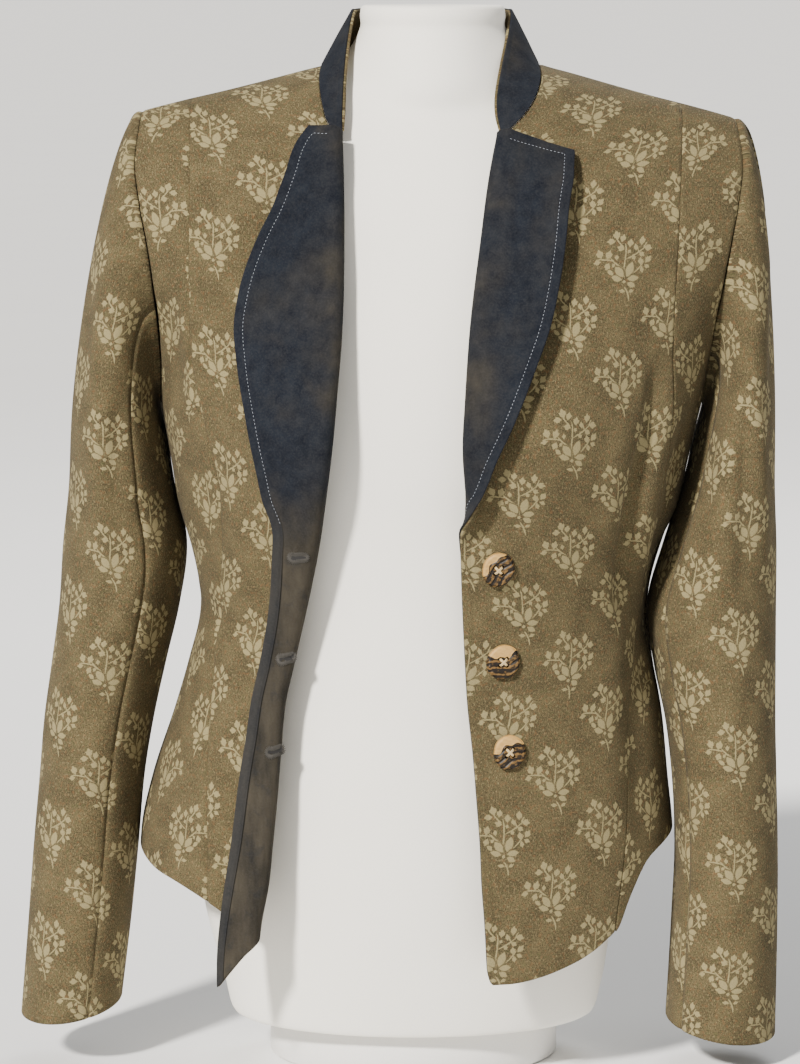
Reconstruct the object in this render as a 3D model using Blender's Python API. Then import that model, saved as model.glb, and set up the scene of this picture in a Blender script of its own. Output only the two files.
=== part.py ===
# A short trachten jacket of wool cloth with suede lapels, worn open on a limbless dress form.
# Sizes are in millimetres. The floor is at height 0, x runs to the wearer's left, y to the back.

import bpy
import numpy as np

for old in list(bpy.data.objects):
    bpy.data.objects.remove(old)

MM = 0.001
CLOTH = 2.2
SUEDE = 1.5
COLLAR_CLOTH = 1.8
SEAM = 0.3
ROLL_RADIUS = 3.2
SECTION_POWER = 2.3
FACING_INSIDE = 3
UNDERARM = 455.0
SHOULDER_SEAM_X = 4.5
SHOULDER_TILT = 0.012
BUST_HEIGHT = 452.0
BUST_X = 84.0
BUST_LIFT = 0.10
BUST_WIDE = 52.0
BUST_TALL = 58.0

# Rows of each panel: hem to underarm, underarm to the start of the shoulder, and over the shoulder.
ROWS_LOW = 11
ROWS_MID = 4
ROWS_NECK = 5
ROWS_TOP = 8
ROWS = ROWS_LOW + ROWS_MID + ROWS_TOP
LOW_CROWDING = 1.35
COLS_CENTRE = 6
COLS_SIDE = 3
COLS_BACK_NECK = 6
FINE_STEPS = 240
COLS_ROLL = 5
COLS_FLAP = 6
COLLAR_ROWS = 4
COLLAR_RISE = 1.6
COLLAR_SWELL = 0.6
COLLAR_MOST_LEAN = 0.6
FOLD_HIGH = 565.0
SLEEVE_RINGS = 20
SLEEVE_LEAVES_TOP = 8.0
SLEEVE_CAP_RINGS = 8

# Body of the jacket by height: height, middle, half width, front depth, back depth.
BODY = np.array([
    (60, -12, 183, 129, 112),
    (140, -17, 185, 129, 116),
    (164, -16.5, 184, 128, 116),
    (197, -14.5, 178.5, 127, 114),
    (245, -9, 168, 125, 106),
    (279, -7, 160, 125, 100),
    (314, -5, 154, 126, 97),
    (336, -4, 156, 128, 98),
    (360, -3, 162, 131, 101),
    (388, -2, 171, 134, 105),
    (419, -1, 177, 137, 108),
    (455, 0, 184, 136, 111),
    (489, 2, 189, 130, 113),
    (517, 3, 198, 123, 113),
    (543, 4, 211, 115, 111),
    (570, 4.5, 223, 107, 107),
    (591, 4.5, 232, 100, 103),
    (611, 4.5, 236, 93, 97),
    (655, 4.5, 232, 84, 84),
    (720, 4.5, 230, 82, 78),
], float)
# Shoulder line: distance from the middle, height, and how far the shoulder rounds down.
SHOULDER = np.array([
    (0, 712, 72),
    (50, 697, 72),
    (60, 690, 72),
    (75, 684.5, 72),
    (85, 682, 74),
    (100, 678, 80),
    (120, 672.5, 86),
    (145, 666, 92),
    (172, 659.5, 98),
    (200, 652, 100),
    (240, 640, 100),
], float)
# Armhole: height, angle from the side at the front, angle from the side at the back.
ARMHOLE = np.array([
    (455, 0, 0),
    (462, 4.5, 4.5),
    (472, 7.5, 8),
    (489, 12, 14),
    (517, 20, 22),
    (543, 27, 28),
    (570, 31, 32),
    (591, 33, 34),
    (625, 32.5, 33.5),
    (648, 32.2, 32.2),
    (700, 32.2, 32.2),
], float)
# Shoulder princess seam: height, x on the wearer's right, x on the wearer's left.
PRINCESS = np.array([
    (80, -150, 122),
    (111, -151, 123.5),
    (152, -151.5, 129),
    (200, -150.5, 133),
    (252, -150, 134),
    (297, -146, 140),
    (332, -143, 146),
    (379, -142, 152),
    (427, -145, 156),
    (449, -151, 157.5),
    (481, -157, 159),
    (540, -161.5, 161),
    (599, -161, 164),
    (665, -163, 169),
], float)
# Line where each front starts to turn outwards: height, x on the right, x on the left.
FOLD = np.array([
    (80, -123, 51),
    (122, -121, 49),
    (148, -116, 47),
    (172, -112.5, 46),
    (235, -103, 41),
    (273, -98, 37),
    (309, -92.5, 35),
    (340, -87, 33.5),
    (384, -79, 31.5),
    (407, -76, 29),
    (440, -72, 26.5),
    (473, -69, 28),
    (518, -65.5, 31),
    (574, -64.5, 38),
    (613, -65, 43.5),
    (642, -66, 49.5),
], float)
# Width of the turned-back front beyond the roll: height, right, left.
FLAP = np.array([
    (80, 13, 0),
    (110, 19, 0),
    (144, 23, 0),
    (177, 22, 0),
    (210, 18, 0),
    (257, 15, 0),
    (317, 14, 0),
    (369, 20, 0),
    (394, 24, 0),
    (410, 31, 4),
    (427, 36, 11),
    (453, 44, 24),
    (491, 55, 37),
    (518, 60, 44),
    (529, 59.5, 45.5),
    (543, 57.5, 46.5),
    (574, 47, 47),
    (590, 39, 46.5),
    (614, 29, 46),
    (632, 21.5, 43),
    (645, 12, 41),
], float)
# How far each front is turned, as a part of half a turn: height, right, left.
TURN = np.array([
    (60, 1, 0),
    (370, 1, 0),
    (384, 1, 0.16),
    (398, 1, 0.55),
    (412, 1, 0.9),
    (424, 1, 1),
    (700, 1, 1),
], float)
FLAP_LEAST = 3.6
# How far the turned-back width stands off the front, near the roll and more at its edge.
FLAP_LIFT = 1.5
FLAP_EDGE_LIFT = 3.5
FLAP_FULL_WIDTH = 40.0
# How far the turned-back corners hang below or rise above the fold's end: height, reach up the fold.
RIGHT_HEM_CORNER = (-36.0, 42.0)
RIGHT_TOP_CORNER = (-2.0, 25.0)
LEFT_HEM_CORNER = (9.0, 12.0)
LEFT_TOP_CORNER = (-18.0, 26.0)
# Hem: x and height, for the right front and for the left front.
HEM_RIGHT = np.array([
    (-204, 152),
    (-190, 144),
    (-173, 139),
    (-156, 132),
    (-145, 126),
    (-130, 117),
    (-116, 109),
    (-60, 84),
], float)
HEM_LEFT = np.array([
    (30, 80),
    (57, 80),
    (73, 83),
    (89, 88),
    (105, 95),
    (117, 103),
    (126, 112),
    (132, 126),
    (139, 140),
    (145, 150),
    (156, 158),
    (168, 163),
], float)
HEM_BACK_MIDDLE = 142.0
# Neckline of each front, from the lapel up to the shoulder: x and height.
NECK_RIGHT = np.array([
    (-65.5, 643),
    (-69.5, 648.5),
    (-72.8, 658.6),
    (-75.2, 671.2),
    (-75.6, 679),
    (-74.6, 684.6),
], float)
NECK_LEFT = np.array([
    (48.5, 642.5),
    (55, 648.3),
    (63.2, 656.7),
    (69.6, 667.5),
    (72.5, 678),
    (72, 685),
], float)
BACK_NECK_DROP = 8.0
# Top edge of the collar: share of the way from the lapel to the middle of the back,
# x right, x left, y, height.
COLLAR_TOP = np.array([
    (0, -60.5, 45, -77.5, 645.5),
    (0.095, -60.8, 43.5, -69, 656),
    (0.19, -60.5, 44, -58, 668.5),
    (0.285, -59.5, 47.5, -42, 686.5),
    (0.38, -57.5, 52, -21, 705.5),
    (0.47, -55, 54.5, 3, 720),
    (0.58, -52.5, 52.5, 25, 722),
    (0.72, -43, 43, 44, 722),
    (0.86, -24, 24, 58, 722),
    (1, 0, 0, 63, 722),
], float)
# Sleeve by height: height, middle x, half width, middle y, half depth.
SLEEVE_RIGHT = np.array([
    (432, -214, 33, 2, 68),
    (400, -213.5, 34.5, 1, 66),
    (360, -213.5, 38.5, 0, 62),
    (318, -215.5, 40, -2, 58),
    (278, -222, 39.5, -4, 55),
    (240, -229, 38, -6, 52.5),
    (202, -234, 36.5, -8, 50),
    (149, -239, 36.5, -11, 48),
    (100, -243.5, 36, -13, 46.5),
    (38, -250, 35, -16, 44.5),
], float)
SLEEVE_LEFT = np.array([
    (432, 208.5, 26, -4, 70),
    (400, 206.5, 28.5, -8, 68),
    (360, 206, 32, -12, 64),
    (318, 205, 32.5, -16, 60),
    (278, 203.5, 34, -20, 57),
    (240, 203, 34.5, -24, 55),
    (202, 203, 35, -27, 53),
    (149, 203, 35.5, -29, 51),
    (100, 202.5, 36.5, -28, 49),
    (26, 201, 38, -24, 46),
], float)
# How much the cuff's plane is tilted: outside lower, front higher.
CUFF_TILT_SIDE = 0.14
CUFF_TILT_FRONT = 0.078
# Inside seam of the sleeve at the front and at the back, in degrees round the sleeve from the outside.
SLEEVE_SEAM_RIGHT = (116, 116)
SLEEVE_SEAM_LEFT = (144, 112)

# Dress form by height: height, half width, and how far it keeps inside the jacket.
FORM = np.array([
    (32, 127, 41),
    (60, 133, 33),
    (89, 139, 28),
    (130, 144, 23),
    (200, 146, 18),
    (258, 138, 15),
    (300, 131, 14),
    (340, 134, 14),
    (388, 147, 14),
    (455, 159, 13),
    (517, 166, 10),
    (560, 172, 9),
    (600, 179, 7),
    (630, 185, 5.6),
    (645, 188, 4.6),
    (660, 190, 3.6),
    (720, 190, 3.6),
], float)
FORM_SHOULDER_GAP = 3.2
# Below the first height the form's section is a plain oval, above the second it follows the jacket.
FORM_OVAL_TOP = 540.0
FORM_JACKET_START = 620.0
NECK_HOLLOW = 0.42
NECK_HOLLOW_FROM = 628.0
NECK_HOLLOW_RISE = 44.0
NECK_HOLLOW_X = 74.0
NECK_HOLLOW_EASE = 20.0
FORM_END_POWER = 5.0
FORM_AROUND = 34
FORM_LEVELS = (32, 44, 72, 105, 145, 190, 235, 275, 310, 345, 385, 425, 465, 505, 545, 580, 606, 624, 637)
FORM_SHOULDER_XS = (182, 167, 150, 131, 111, 93, 79, 69, 61)
NECK_HALF_WIDTH = 49.0
NECK_DEPTH = 53.0
NECK_SHIFT = -4.0
NECK_START = 640.0
NECK_TOP = 725.0
NECK_FLARE = 0.26
NECK_FLARE_TOP = 712.0
NECK_FLARE_TALL = 50.0
NECK_ROUND = (0.985, 0.94)
NECK_RINGS = (699, 709, 719, 723)
BASE_HALF_WIDTH = 100.0
BASE_HALF_DEPTH = 74.0
BASE_HEIGHT = 31.7
BASE_SIDES = 40

BUTTONS = np.array([(42.5, 361), (46, 298), (50.5, 237)], float)
BUTTON_RADIUS = 11.6
BUTTON_EDGE = 1.2
BUTTON_THICK = 4.2
BUTTON_SIDES = 24
BUTTON_GAP = 0.45
HOLE_SIDES = 8
HOLE_RADIUS = 1.1
HOLE_OFFSET = 2.3


def curve(at, xs, ys):
    """A cubic curve through the table's points, held level beyond its ends."""
    at = np.clip(np.asarray(at, float), xs[0], xs[-1])
    slope = np.gradient(ys, xs)
    i = np.clip(np.searchsorted(xs, at, side="right") - 1, 0, len(xs) - 2)
    h = xs[i + 1] - xs[i]
    q = (at - xs[i]) / h
    return (
        ys[i] * (1 + 2 * q) * (1 - q) ** 2
        + slope[i] * h * q * (1 - q) ** 2
        + ys[i + 1] * q * q * (3 - 2 * q)
        + slope[i + 1] * h * q * q * (q - 1)
    )


def column(table, at, name):
    return curve(at, table[:, 0], table[:, name])


def body_middle(z):
    return column(BODY, z, 1)


def body_half(z):
    return column(BODY, z, 2)


def shoulder_height(x):
    return column(SHOULDER, np.abs(x - SHOULDER_SEAM_X), 1) - SHOULDER_TILT * x


def depth_squared(x, z, back, inset=0.0, drop=0.0):
    """Square of the cloth's distance from the shoulder plane, negative outside the body."""
    across = np.abs(x - body_middle(z)) / body_half(z)
    inside = 1 - across**SECTION_POWER
    section = np.sign(inside) * np.abs(inside) ** (2 / SECTION_POWER)
    down = column(SHOULDER, np.abs(x - SHOULDER_SEAM_X), 2)
    fall = np.minimum((shoulder_height(x) - drop - z) / down, 1)
    rounded = 1 - (1 - fall) ** 2
    depth = np.where(back, column(BODY, z, 4), column(BODY, z, 3))
    side = (np.abs(x) - BUST_X) / BUST_WIDE
    bust = BUST_LIFT * np.exp(-side**2 - ((z - BUST_HEIGHT) / BUST_TALL) ** 2)
    depth = depth * np.where(back, 1, 1 + bust) - inset
    return depth**2 * section * rounded


def angle_of(x, z):
    """Angle round the body of a point at this x: 0 at the wearer's left side, 180 at the right."""
    q = (x - body_middle(z)) / body_half(z)
    q = np.clip(q, -1, 1)
    return np.degrees(np.arccos(np.sign(q) * np.abs(q) ** (SECTION_POWER / 2)))


def on_body(angle, z, back=False):
    """Points and outward normals of the jacket's outer face."""
    turn = np.radians(angle)
    c = np.cos(turn)
    x = body_middle(z) + body_half(z) * np.sign(c) * np.abs(c) ** (2 / SECTION_POWER)
    return body_point(x, z, back)


def body_point(x, z, back=False):
    x, z = np.broadcast_arrays(np.asarray(x, float), np.asarray(z, float))
    y = np.sqrt(np.maximum(depth_squared(x, z, back), 0))
    y = np.where(back, y, -y)
    step = 0.25
    slope_x = (depth_squared(x + step, z, back) - depth_squared(x - step, z, back)) / (2 * step)
    slope_z = (depth_squared(x, z + step, back) - depth_squared(x, z - step, back)) / (2 * step)
    normal = np.stack([-slope_x, 2 * y, -slope_z], -1)
    return np.stack([x, y, z], -1), unit(normal)


def unit(vectors):
    return vectors / np.maximum(np.linalg.norm(vectors, axis=-1, keepdims=True), 1e-12)


def levels(low, mid, high, top):
    """Heights of a panel's rows, close together where the shoulder turns level."""
    turn = np.linspace(0, np.pi / 2, ROWS_TOP + 1)[1:]
    return np.concatenate([low_levels(low, mid, high), top - (top - high) * (1 - np.sin(turn))])


def low_levels(low, mid, high):
    share = 1 - (1 - np.linspace(0, 1, ROWS_LOW + 1)) ** LOW_CROWDING
    return np.concatenate([low + (mid - low) * share, np.linspace(mid, high, ROWS_MID + 1)[1:]])


def coons(bottom, top, left, right):
    """A plan filled in between its four edges, each a list of (angle, height)."""
    u = np.linspace(0, 1, len(bottom))[None, :, None]
    v = np.linspace(0, 1, len(left))[:, None, None]
    across = (1 - u) * left[:, None] + u * right[:, None]
    along = (1 - v) * bottom[None] + v * top[None]
    corners = (1 - u) * ((1 - v) * bottom[0] + v * top[0]) + u * ((1 - v) * bottom[-1] + v * top[-1])
    return across + along - corners


def plan(x, z):
    return np.stack([angle_of(x, z), np.asarray(z, float)], -1)


def hem_height(side, x):
    table = HEM_RIGHT if side < 0 else HEM_LEFT
    return curve(x, table[:, 0], table[:, 1])


def princess_line(side):
    k = 1 if side < 0 else 2
    top_x = column(PRINCESS, 665, k)
    top = shoulder_height(top_x)
    start = top - column(SHOULDER, abs(top_x - SHOULDER_SEAM_X), 2)
    low_x = column(PRINCESS, 130, k)
    z = levels(hem_height(side, low_x), UNDERARM, start, top)
    return plan(column(PRINCESS, z, k), z)


def armhole_line(side, back):
    """Side seam up to the underarm, then the edge of the armhole up to the shoulder."""
    tip_angle = column(ARMHOLE, 655, 1)
    tip = on_body(tip_angle if side > 0 else 180 - tip_angle, 655)[0][0]
    top = shoulder_height(tip)
    side_x = body_middle(150) + side * body_half(150)
    z = levels(hem_height(side, side_x), UNDERARM, top - 100, top)
    off = np.where(z > UNDERARM, column(ARMHOLE, z, 2 if back else 1), 0)
    line = np.stack([np.where(side > 0, off, 180 - off), z], -1)
    line[-1] = plan(tip, top)
    return line


def shoulder_line(side, back, x0, x1, columns):
    x = np.linspace(x0, x1, columns + 1)
    return plan(x, shoulder_height(x))


def shoulder_stops(side):
    neck = neck_table(side)[-1, 0]
    princess = column(PRINCESS, 665, 1 if side < 0 else 2)
    arm = armhole_line(side, False)[-1]
    tip = on_body(arm[0], arm[1])[0][0]
    return neck, princess, tip


def neck_table(side):
    return NECK_RIGHT if side < 0 else NECK_LEFT


def neck_curve(side):
    """Neckline from the lapel up to the shoulder, as x and height."""
    x, z = neck_table(side).T
    step = np.concatenate([[0], np.cumsum(np.hypot(np.diff(x), np.diff(z)))])
    fine = np.linspace(0, step[-1], FINE_STEPS)
    x, z = curve(fine, step, x), curve(fine, step, z)
    z = np.minimum(z, shoulder_height(x))
    z[-1] = shoulder_height(x[-1])
    return even_along(x, z, ROWS_NECK, False)


def even_along(x, z, count, back):
    """Stops spaced evenly along a line on the body, as x and height."""
    points, _ = body_point(x, z, back)
    run = np.concatenate([[0], np.cumsum(np.linalg.norm(np.diff(points, axis=0), axis=1))])
    at = np.linspace(0, run[-1], count + 1)
    return np.interp(at, run, x), np.interp(at, run, z)


def solid_sheet(name, outer, inner, material, cells=None):
    """A closed wall between two grids of points; cells tells which squares of the grid are there."""
    rows, cols = outer.shape[:2]
    if cells is None:
        cells = np.ones((rows - 1, cols - 1), bool)
    used = {}
    squares = []
    for r, c in zip(*np.nonzero(cells)):
        ring = [(r, c), (r, c + 1), (r + 1, c + 1), (r + 1, c)]
        squares.append([used.setdefault(place, len(used)) for place in ring])
    back = len(used)
    edges = {}
    faces = []
    for square in squares:
        faces.append(tuple(square))
        faces.append(turned_over([back + v for v in square]))
        for a, b in zip(square, square[1:] + square[:1]):
            if (b, a) in edges:
                del edges[(b, a)]
            else:
                edges[(a, b)] = True
    for a, b in edges:
        faces.append((b, a, back + a, back + b))
    at = np.array(list(used))
    points = np.concatenate([outer[at[:, 0], at[:, 1]], inner[at[:, 0], at[:, 1]]])
    add_body(name, points, faces, material)


def turned_over(face):
    return (face[0],) + tuple(reversed(face[1:]))


def add_body(name, points, faces, material):
    volume = 0.0
    for face in faces:
        p = points[list(face)]
        for k in range(1, len(face) - 1):
            volume += np.dot(p[0], np.cross(p[k], p[k + 1]))
    if volume < 0:
        faces = [turned_over(face) for face in faces]
    bodies.append((name, points, faces, material))


bodies = []


def outward(edge, inside, normals):
    """Direction along the cloth, square to its edge, away from the piece."""
    out = unit(np.cross(normals, np.gradient(edge, axis=0)))
    return out * np.sign((out * (edge - inside)).sum(-1, keepdims=True))


def pull_in(points, normals, ends):
    """Each named edge of a grid moved into the piece, along the cloth, by half the seam's gap."""
    moved = points.copy()
    half = SEAM / 2
    if "left" in ends:
        moved[:, 0] -= half * outward(points[:, 0], points[:, 1], normals[:, 0])
    if "right" in ends:
        moved[:, -1] -= half * outward(points[:, -1], points[:, -2], normals[:, -1])
    if "top" in ends:
        moved[-1] -= half * outward(points[-1], points[-2], normals[-1])
    return moved


def front_centre(side):
    """Centre front from the princess seam to the fold and neckline, then its turned-back part."""
    k = 1 if side < 0 else 2
    neck_x, neck_z = neck_curve(side)
    _, princess_x, _ = shoulder_stops(side)
    princess = princess_line(side)
    rise = np.linspace(FOLD_HIGH, neck_z[0], ROWS_TOP - ROWS_NECK + 1)[1:]
    fold_z = np.concatenate([low_levels(hem_height(side, column(FOLD, 100, k)), UNDERARM, FOLD_HIGH), rise])
    fold_x = column(FOLD, fold_z, k)
    near_top = np.clip((fold_z - 600) / (neck_z[0] - 600), 0, 1) ** 2
    fold_x = fold_x + (neck_x[0] - fold_x[-1]) * near_top
    edge = plan(np.concatenate([fold_x, neck_x[1:]]), np.concatenate([fold_z, neck_z[1:]]))
    top = shoulder_line(side, False, princess_x, neck_x[-1], COLS_CENTRE)
    low_x = np.linspace(body_x(princess[0]), fold_x[0], len(top))
    bottom = plan(low_x, hem_height(side, low_x))
    bottom[0], bottom[-1] = princess[0], edge[0]
    top[0], top[-1] = princess[-1], edge[-1]
    grid = coons(bottom, top, princess, edge)
    points, normals = on_body(grid[..., 0], grid[..., 1])
    turned, turned_normals = turn_back(side, points[:len(fold_z)], normals[:len(fold_z)], fold_z)
    return points, normals, turned, turned_normals


def body_x(place):
    return on_body(place[0], place[1])[0][0]


def turn_back(side, points, normals, fold_z):
    """The roll and the turned-back width beyond the fold line of a front."""
    k = 1 if side < 0 else 2
    start, n = points[:, -1], normals[:, -1]
    ahead = np.cross(n, np.array([0, 0, 1.0])) * side
    ahead = unit(ahead - (ahead * n).sum(-1, keepdims=True) * n)
    turn = np.pi * np.clip(column(TURN, fold_z, k), 0.004, 1)
    roll = np.pi * ROLL_RADIUS
    radius = roll / turn
    flap = np.maximum(column(FLAP, fold_z, k), FLAP_LEAST)
    out_points, out_normals = [], []
    for c in range(1, COLS_ROLL + 1):
        a = (turn * c / COLS_ROLL)[:, None]
        step = radius[:, None] * (np.sin(a) * ahead + (1 - np.cos(a)) * n)
        out_points.append(start + step)
        out_normals.append(np.cos(a) * n - np.sin(a) * ahead)
    end = out_points[-1]
    way = np.cos(turn)[:, None] * ahead + np.sin(turn)[:, None] * n
    last_normal = out_normals[-1]
    share = ((1 - np.cos(turn)) / 2)[:, None]
    wide = np.clip(flap / FLAP_FULL_WIDTH, 0, 1)[:, None]
    above, under_top = fold_z - fold_z[0], fold_z[-1] - fold_z
    for c in range(1, COLS_FLAP + 1):
        part = c / COLS_FLAP
        d = (flap * part)[:, None]
        x = start[:, 0] - (d * ahead)[:, 0]
        below, below_normal = body_point(x, fold_z)
        bend = share * (below - start + d * ahead)
        bend[:, 2] = 0
        lift = share * (FLAP_LIFT + FLAP_EDGE_LIFT * part * wide) * part * below_normal
        place = end + d * way + bend + lift
        if side < 0:
            place[:, 2] += RIGHT_HEM_CORNER[0] * part**0.7 * np.exp(-(above / RIGHT_HEM_CORNER[1]) ** 1.3)
            place[:, 2] += RIGHT_TOP_CORNER[0] * part * np.exp(-under_top / RIGHT_TOP_CORNER[1])
        else:
            place[:, 2] += LEFT_HEM_CORNER[0] * part**2 * np.exp(-above / LEFT_HEM_CORNER[1])
            place[:, 2] += LEFT_TOP_CORNER[0] * part * np.exp(-under_top / LEFT_TOP_CORNER[1])
        out_points.append(place)
        out_normals.append(unit(last_normal + share * (n - below_normal)))
    return np.stack(out_points, 1), np.stack(out_normals, 1)


def front_side(side):
    princess = princess_line(side)
    arm = armhole_line(side, False)
    _, princess_x, tip_x = shoulder_stops(side)
    top = shoulder_line(side, False, princess_x, tip_x, COLS_SIDE)
    top[0], top[-1] = princess[-1], arm[-1]
    angle = np.linspace(princess[0, 0], arm[0, 0], COLS_SIDE + 1)
    x = on_body(angle, np.full(len(angle), 145.0))[0][:, 0]
    bottom = np.stack([angle, hem_height(side, x)], -1)
    bottom[0], bottom[-1] = princess[0], arm[0]
    grid = coons(bottom, top, princess, arm)
    return on_body(grid[..., 0], grid[..., 1])


def back_neck(side):
    neck_x, _, _ = shoulder_stops(side)
    share = np.sin(np.linspace(0, np.pi / 2, FINE_STEPS))
    x = SHOULDER_SEAM_X + (neck_x - SHOULDER_SEAM_X) * share
    z = shoulder_height(neck_x) - BACK_NECK_DROP * (1 - share**2.6)
    return even_along(x, z, COLS_BACK_NECK, True)


def back_half(side):
    arm = armhole_line(side, True)
    neck_x, princess_x, tip_x = shoulder_stops(side)
    x, z = back_neck(side)
    inner = shoulder_line(side, True, neck_x, princess_x, COLS_CENTRE)
    outer = shoulder_line(side, True, princess_x, tip_x, COLS_SIDE)
    top = np.concatenate([plan(x, z), inner[1:], outer[1:]])
    top[-1] = arm[-1]
    middle_z = levels(HEM_BACK_MIDDLE, UNDERARM, 600, z[0])
    low_share = np.clip((z[0] - middle_z) / 200, 0, 1)
    middle_x = SHOULDER_SEAM_X + (body_middle(middle_z) - SHOULDER_SEAM_X) * low_share
    middle = plan(middle_x, middle_z)
    top[0] = middle[-1]
    angle = np.linspace(middle[0, 0], arm[0, 0], len(top))
    share = np.linspace(0, 1, len(top))
    bottom = np.stack([angle, HEM_BACK_MIDDLE + (arm[0, 1] - HEM_BACK_MIDDLE) * share**2], -1)
    grid = coons(bottom, top, middle, arm)
    return on_body(grid[..., 0], grid[..., 1], back=True)


def sleeve_table(side):
    table = SLEEVE_RIGHT if side < 0 else SLEEVE_LEFT
    return table[::-1]


def sleeve_rings(side, loop, loop_normals, hole):
    """Rings of points down a sleeve from the armhole's loop, and their normals."""
    table = sleeve_table(side)
    cap_z, cuff_z = table[-1, 0], table[0, 0]
    lengths = np.linalg.norm(np.roll(loop, -1, 0) - loop, axis=1)
    share = np.concatenate([[0], np.cumsum(lengths)[:-1]]) / lengths.sum()
    around = 2 * np.pi * share
    rings = []
    heights = np.linspace(cap_z, cuff_z, SLEEVE_RINGS - SLEEVE_CAP_RINGS + 1)
    tube = []
    for z in heights:
        middle, half, y, deep = (curve(z, table[:, 0], table[:, k]) for k in range(1, 5))
        ring = np.stack([
            middle + side * half * np.cos(around),
            y - deep * np.sin(around),
            np.full(len(around), z),
        ], -1)
        lean = np.clip((cap_z - z) / (cap_z - cuff_z), 0, 1) ** 3
        ring[:, 2] -= lean * CUFF_TILT_SIDE * side * (ring[:, 0] - middle)
        ring[:, 2] -= lean * CUFF_TILT_FRONT * (y - ring[:, 1])
        tube.append(ring)
    first, second = tube[0], tube[1]
    climb = np.clip((loop[:, 2:] - UNDERARM) / (loop[:, 2].max() - UNDERARM), 0, 1)
    leave_angle = np.radians(SLEEVE_LEAVES_TOP + (90 - SLEEVE_LEAVES_TOP) * (1 - climb) ** 0.8)
    out = np.cos(leave_angle) * hole + np.sin(leave_angle) * loop_normals
    seam_normals = np.cos(leave_angle) * loop_normals - np.sin(leave_angle) * hole
    reach = np.linalg.norm(first - loop, axis=1, keepdims=True)
    leave = out * np.clip(reach * 0.55, 12, 60)
    arrive = unit(second - first) * reach
    for r in range(SLEEVE_CAP_RINGS):
        q = r / SLEEVE_CAP_RINGS
        ring = (
            loop * (1 + 2 * q) * (1 - q) ** 2
            + leave * q * (1 - q) ** 2
            + first * q * q * (3 - 2 * q)
            + arrive * q * q * (q - 1)
        )
        rings.append(ring)
    rings[0] = loop + hole * SEAM / 2
    rings = np.array(rings + tube)
    down = np.gradient(rings, axis=0)
    along = np.roll(rings, -1, 1) - np.roll(rings, 1, 1)
    normals = unit(np.cross(along, down))
    middle = rings.mean(1, keepdims=True)
    normals = normals * np.sign(((rings - middle) * normals).sum(-1).mean())
    normals[0] = seam_normals
    return rings, normals


def sleeve(side, front, front_n, back, back_n):
    arm = ROWS_LOW
    loop = np.concatenate([front[arm:, -1][::-1], back[arm + 1:-1, -1]])
    loop_n = np.concatenate([front_n[arm:, -1][::-1], back_n[arm + 1:-1, -1]])
    front_hole = outward(front[arm:, -1], front[arm:, -2], front_n[arm:, -1])
    back_hole = outward(back[arm:, -1], back[arm:, -2], back_n[arm:, -1])
    hole = np.concatenate([front_hole[::-1], back_hole[1:-1]])
    lowest = len(front_hole) - 1
    hole[lowest] = (0, 0, 1)
    hole[0] = unit(front_hole[-1] + back_hole[-1])
    loop_n[lowest] = (side, 0, 0)
    rings, normals = sleeve_rings(side, loop, loop_n, hole)
    name = "right" if side < 0 else "left"
    count = len(loop)
    front_turn, back_turn = SLEEVE_SEAM_RIGHT if side < 0 else SLEEVE_SEAM_LEFT
    front_at = round(front_turn / 360 * count)
    back_at = count - round(back_turn / 360 * count)
    upper = list(range(back_at, count)) + list(range(0, front_at + 1))
    under = list(range(front_at, back_at + 1))
    for piece, columns in (("upper", upper), ("under", under)):
        points = pull_in(rings[:, columns], normals[:, columns], ("left", "right"))
        wall = normals[:, columns]
        solid_sheet(f"sleeve_{piece}_{name}", points, points - CLOTH * wall, "loden_cloth")


def front_solids(side, name):
    """Centre front with its facing; gives back the neckline from the lapel to the shoulder."""
    points, normals, turned, turned_normals = front_centre(side)
    fold_rows = len(turned)
    moved = pull_in(points, normals, ("left", "top"))
    neck = points[fold_rows - 1:, -1]
    neck_n = normals[fold_rows - 1:, -1]
    moved[fold_rows - 1:, -1] -= SEAM / 2 * outward(neck, points[fold_rows - 1:, -2], neck_n)
    blank = np.zeros((len(points) - fold_rows,) + turned.shape[1:])
    whole = np.concatenate([moved, np.concatenate([turned, blank])], 1)
    whole_n = np.concatenate([normals, np.concatenate([turned_normals, blank])], 1)
    cells = np.ones((ROWS, whole.shape[1] - 1), bool)
    cells[fold_rows - 1:, COLS_CENTRE:] = False
    solid_sheet(f"front_centre_{name}", whole, whole - CLOTH * whole_n, "loden_cloth", cells)
    part = np.s_[:fold_rows, COLS_CENTRE - FACING_INSIDE:]
    suede = whole[part] - (CLOTH + SEAM) * whole_n[part]
    solid_sheet(f"facing_{name}", suede, suede - SUEDE * whole_n[part], "navy_suede")
    return neck


def build_jacket():
    necks = {}
    for side, name in ((-1, "right"), (1, "left")):
        front_neck = front_solids(side, name)
        points, normals = front_side(side)
        moved = pull_in(points, normals, ("left", "right", "top"))
        solid_sheet(f"front_side_{name}", moved, moved - CLOTH * normals, "loden_cloth")
        back_points, back_n = back_half(side)
        moved_back = pull_in(back_points, back_n, ("left", "right", "top"))
        solid_sheet(f"back_{name}", moved_back, moved_back - CLOTH * back_n, "loden_cloth")
        sleeve(side, points, normals, back_points, back_n)
        rear_neck = back_points[-1, :COLS_BACK_NECK + 1][::-1]
        necks[side] = np.concatenate([front_neck, rear_neck[1:]])
    return necks


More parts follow.
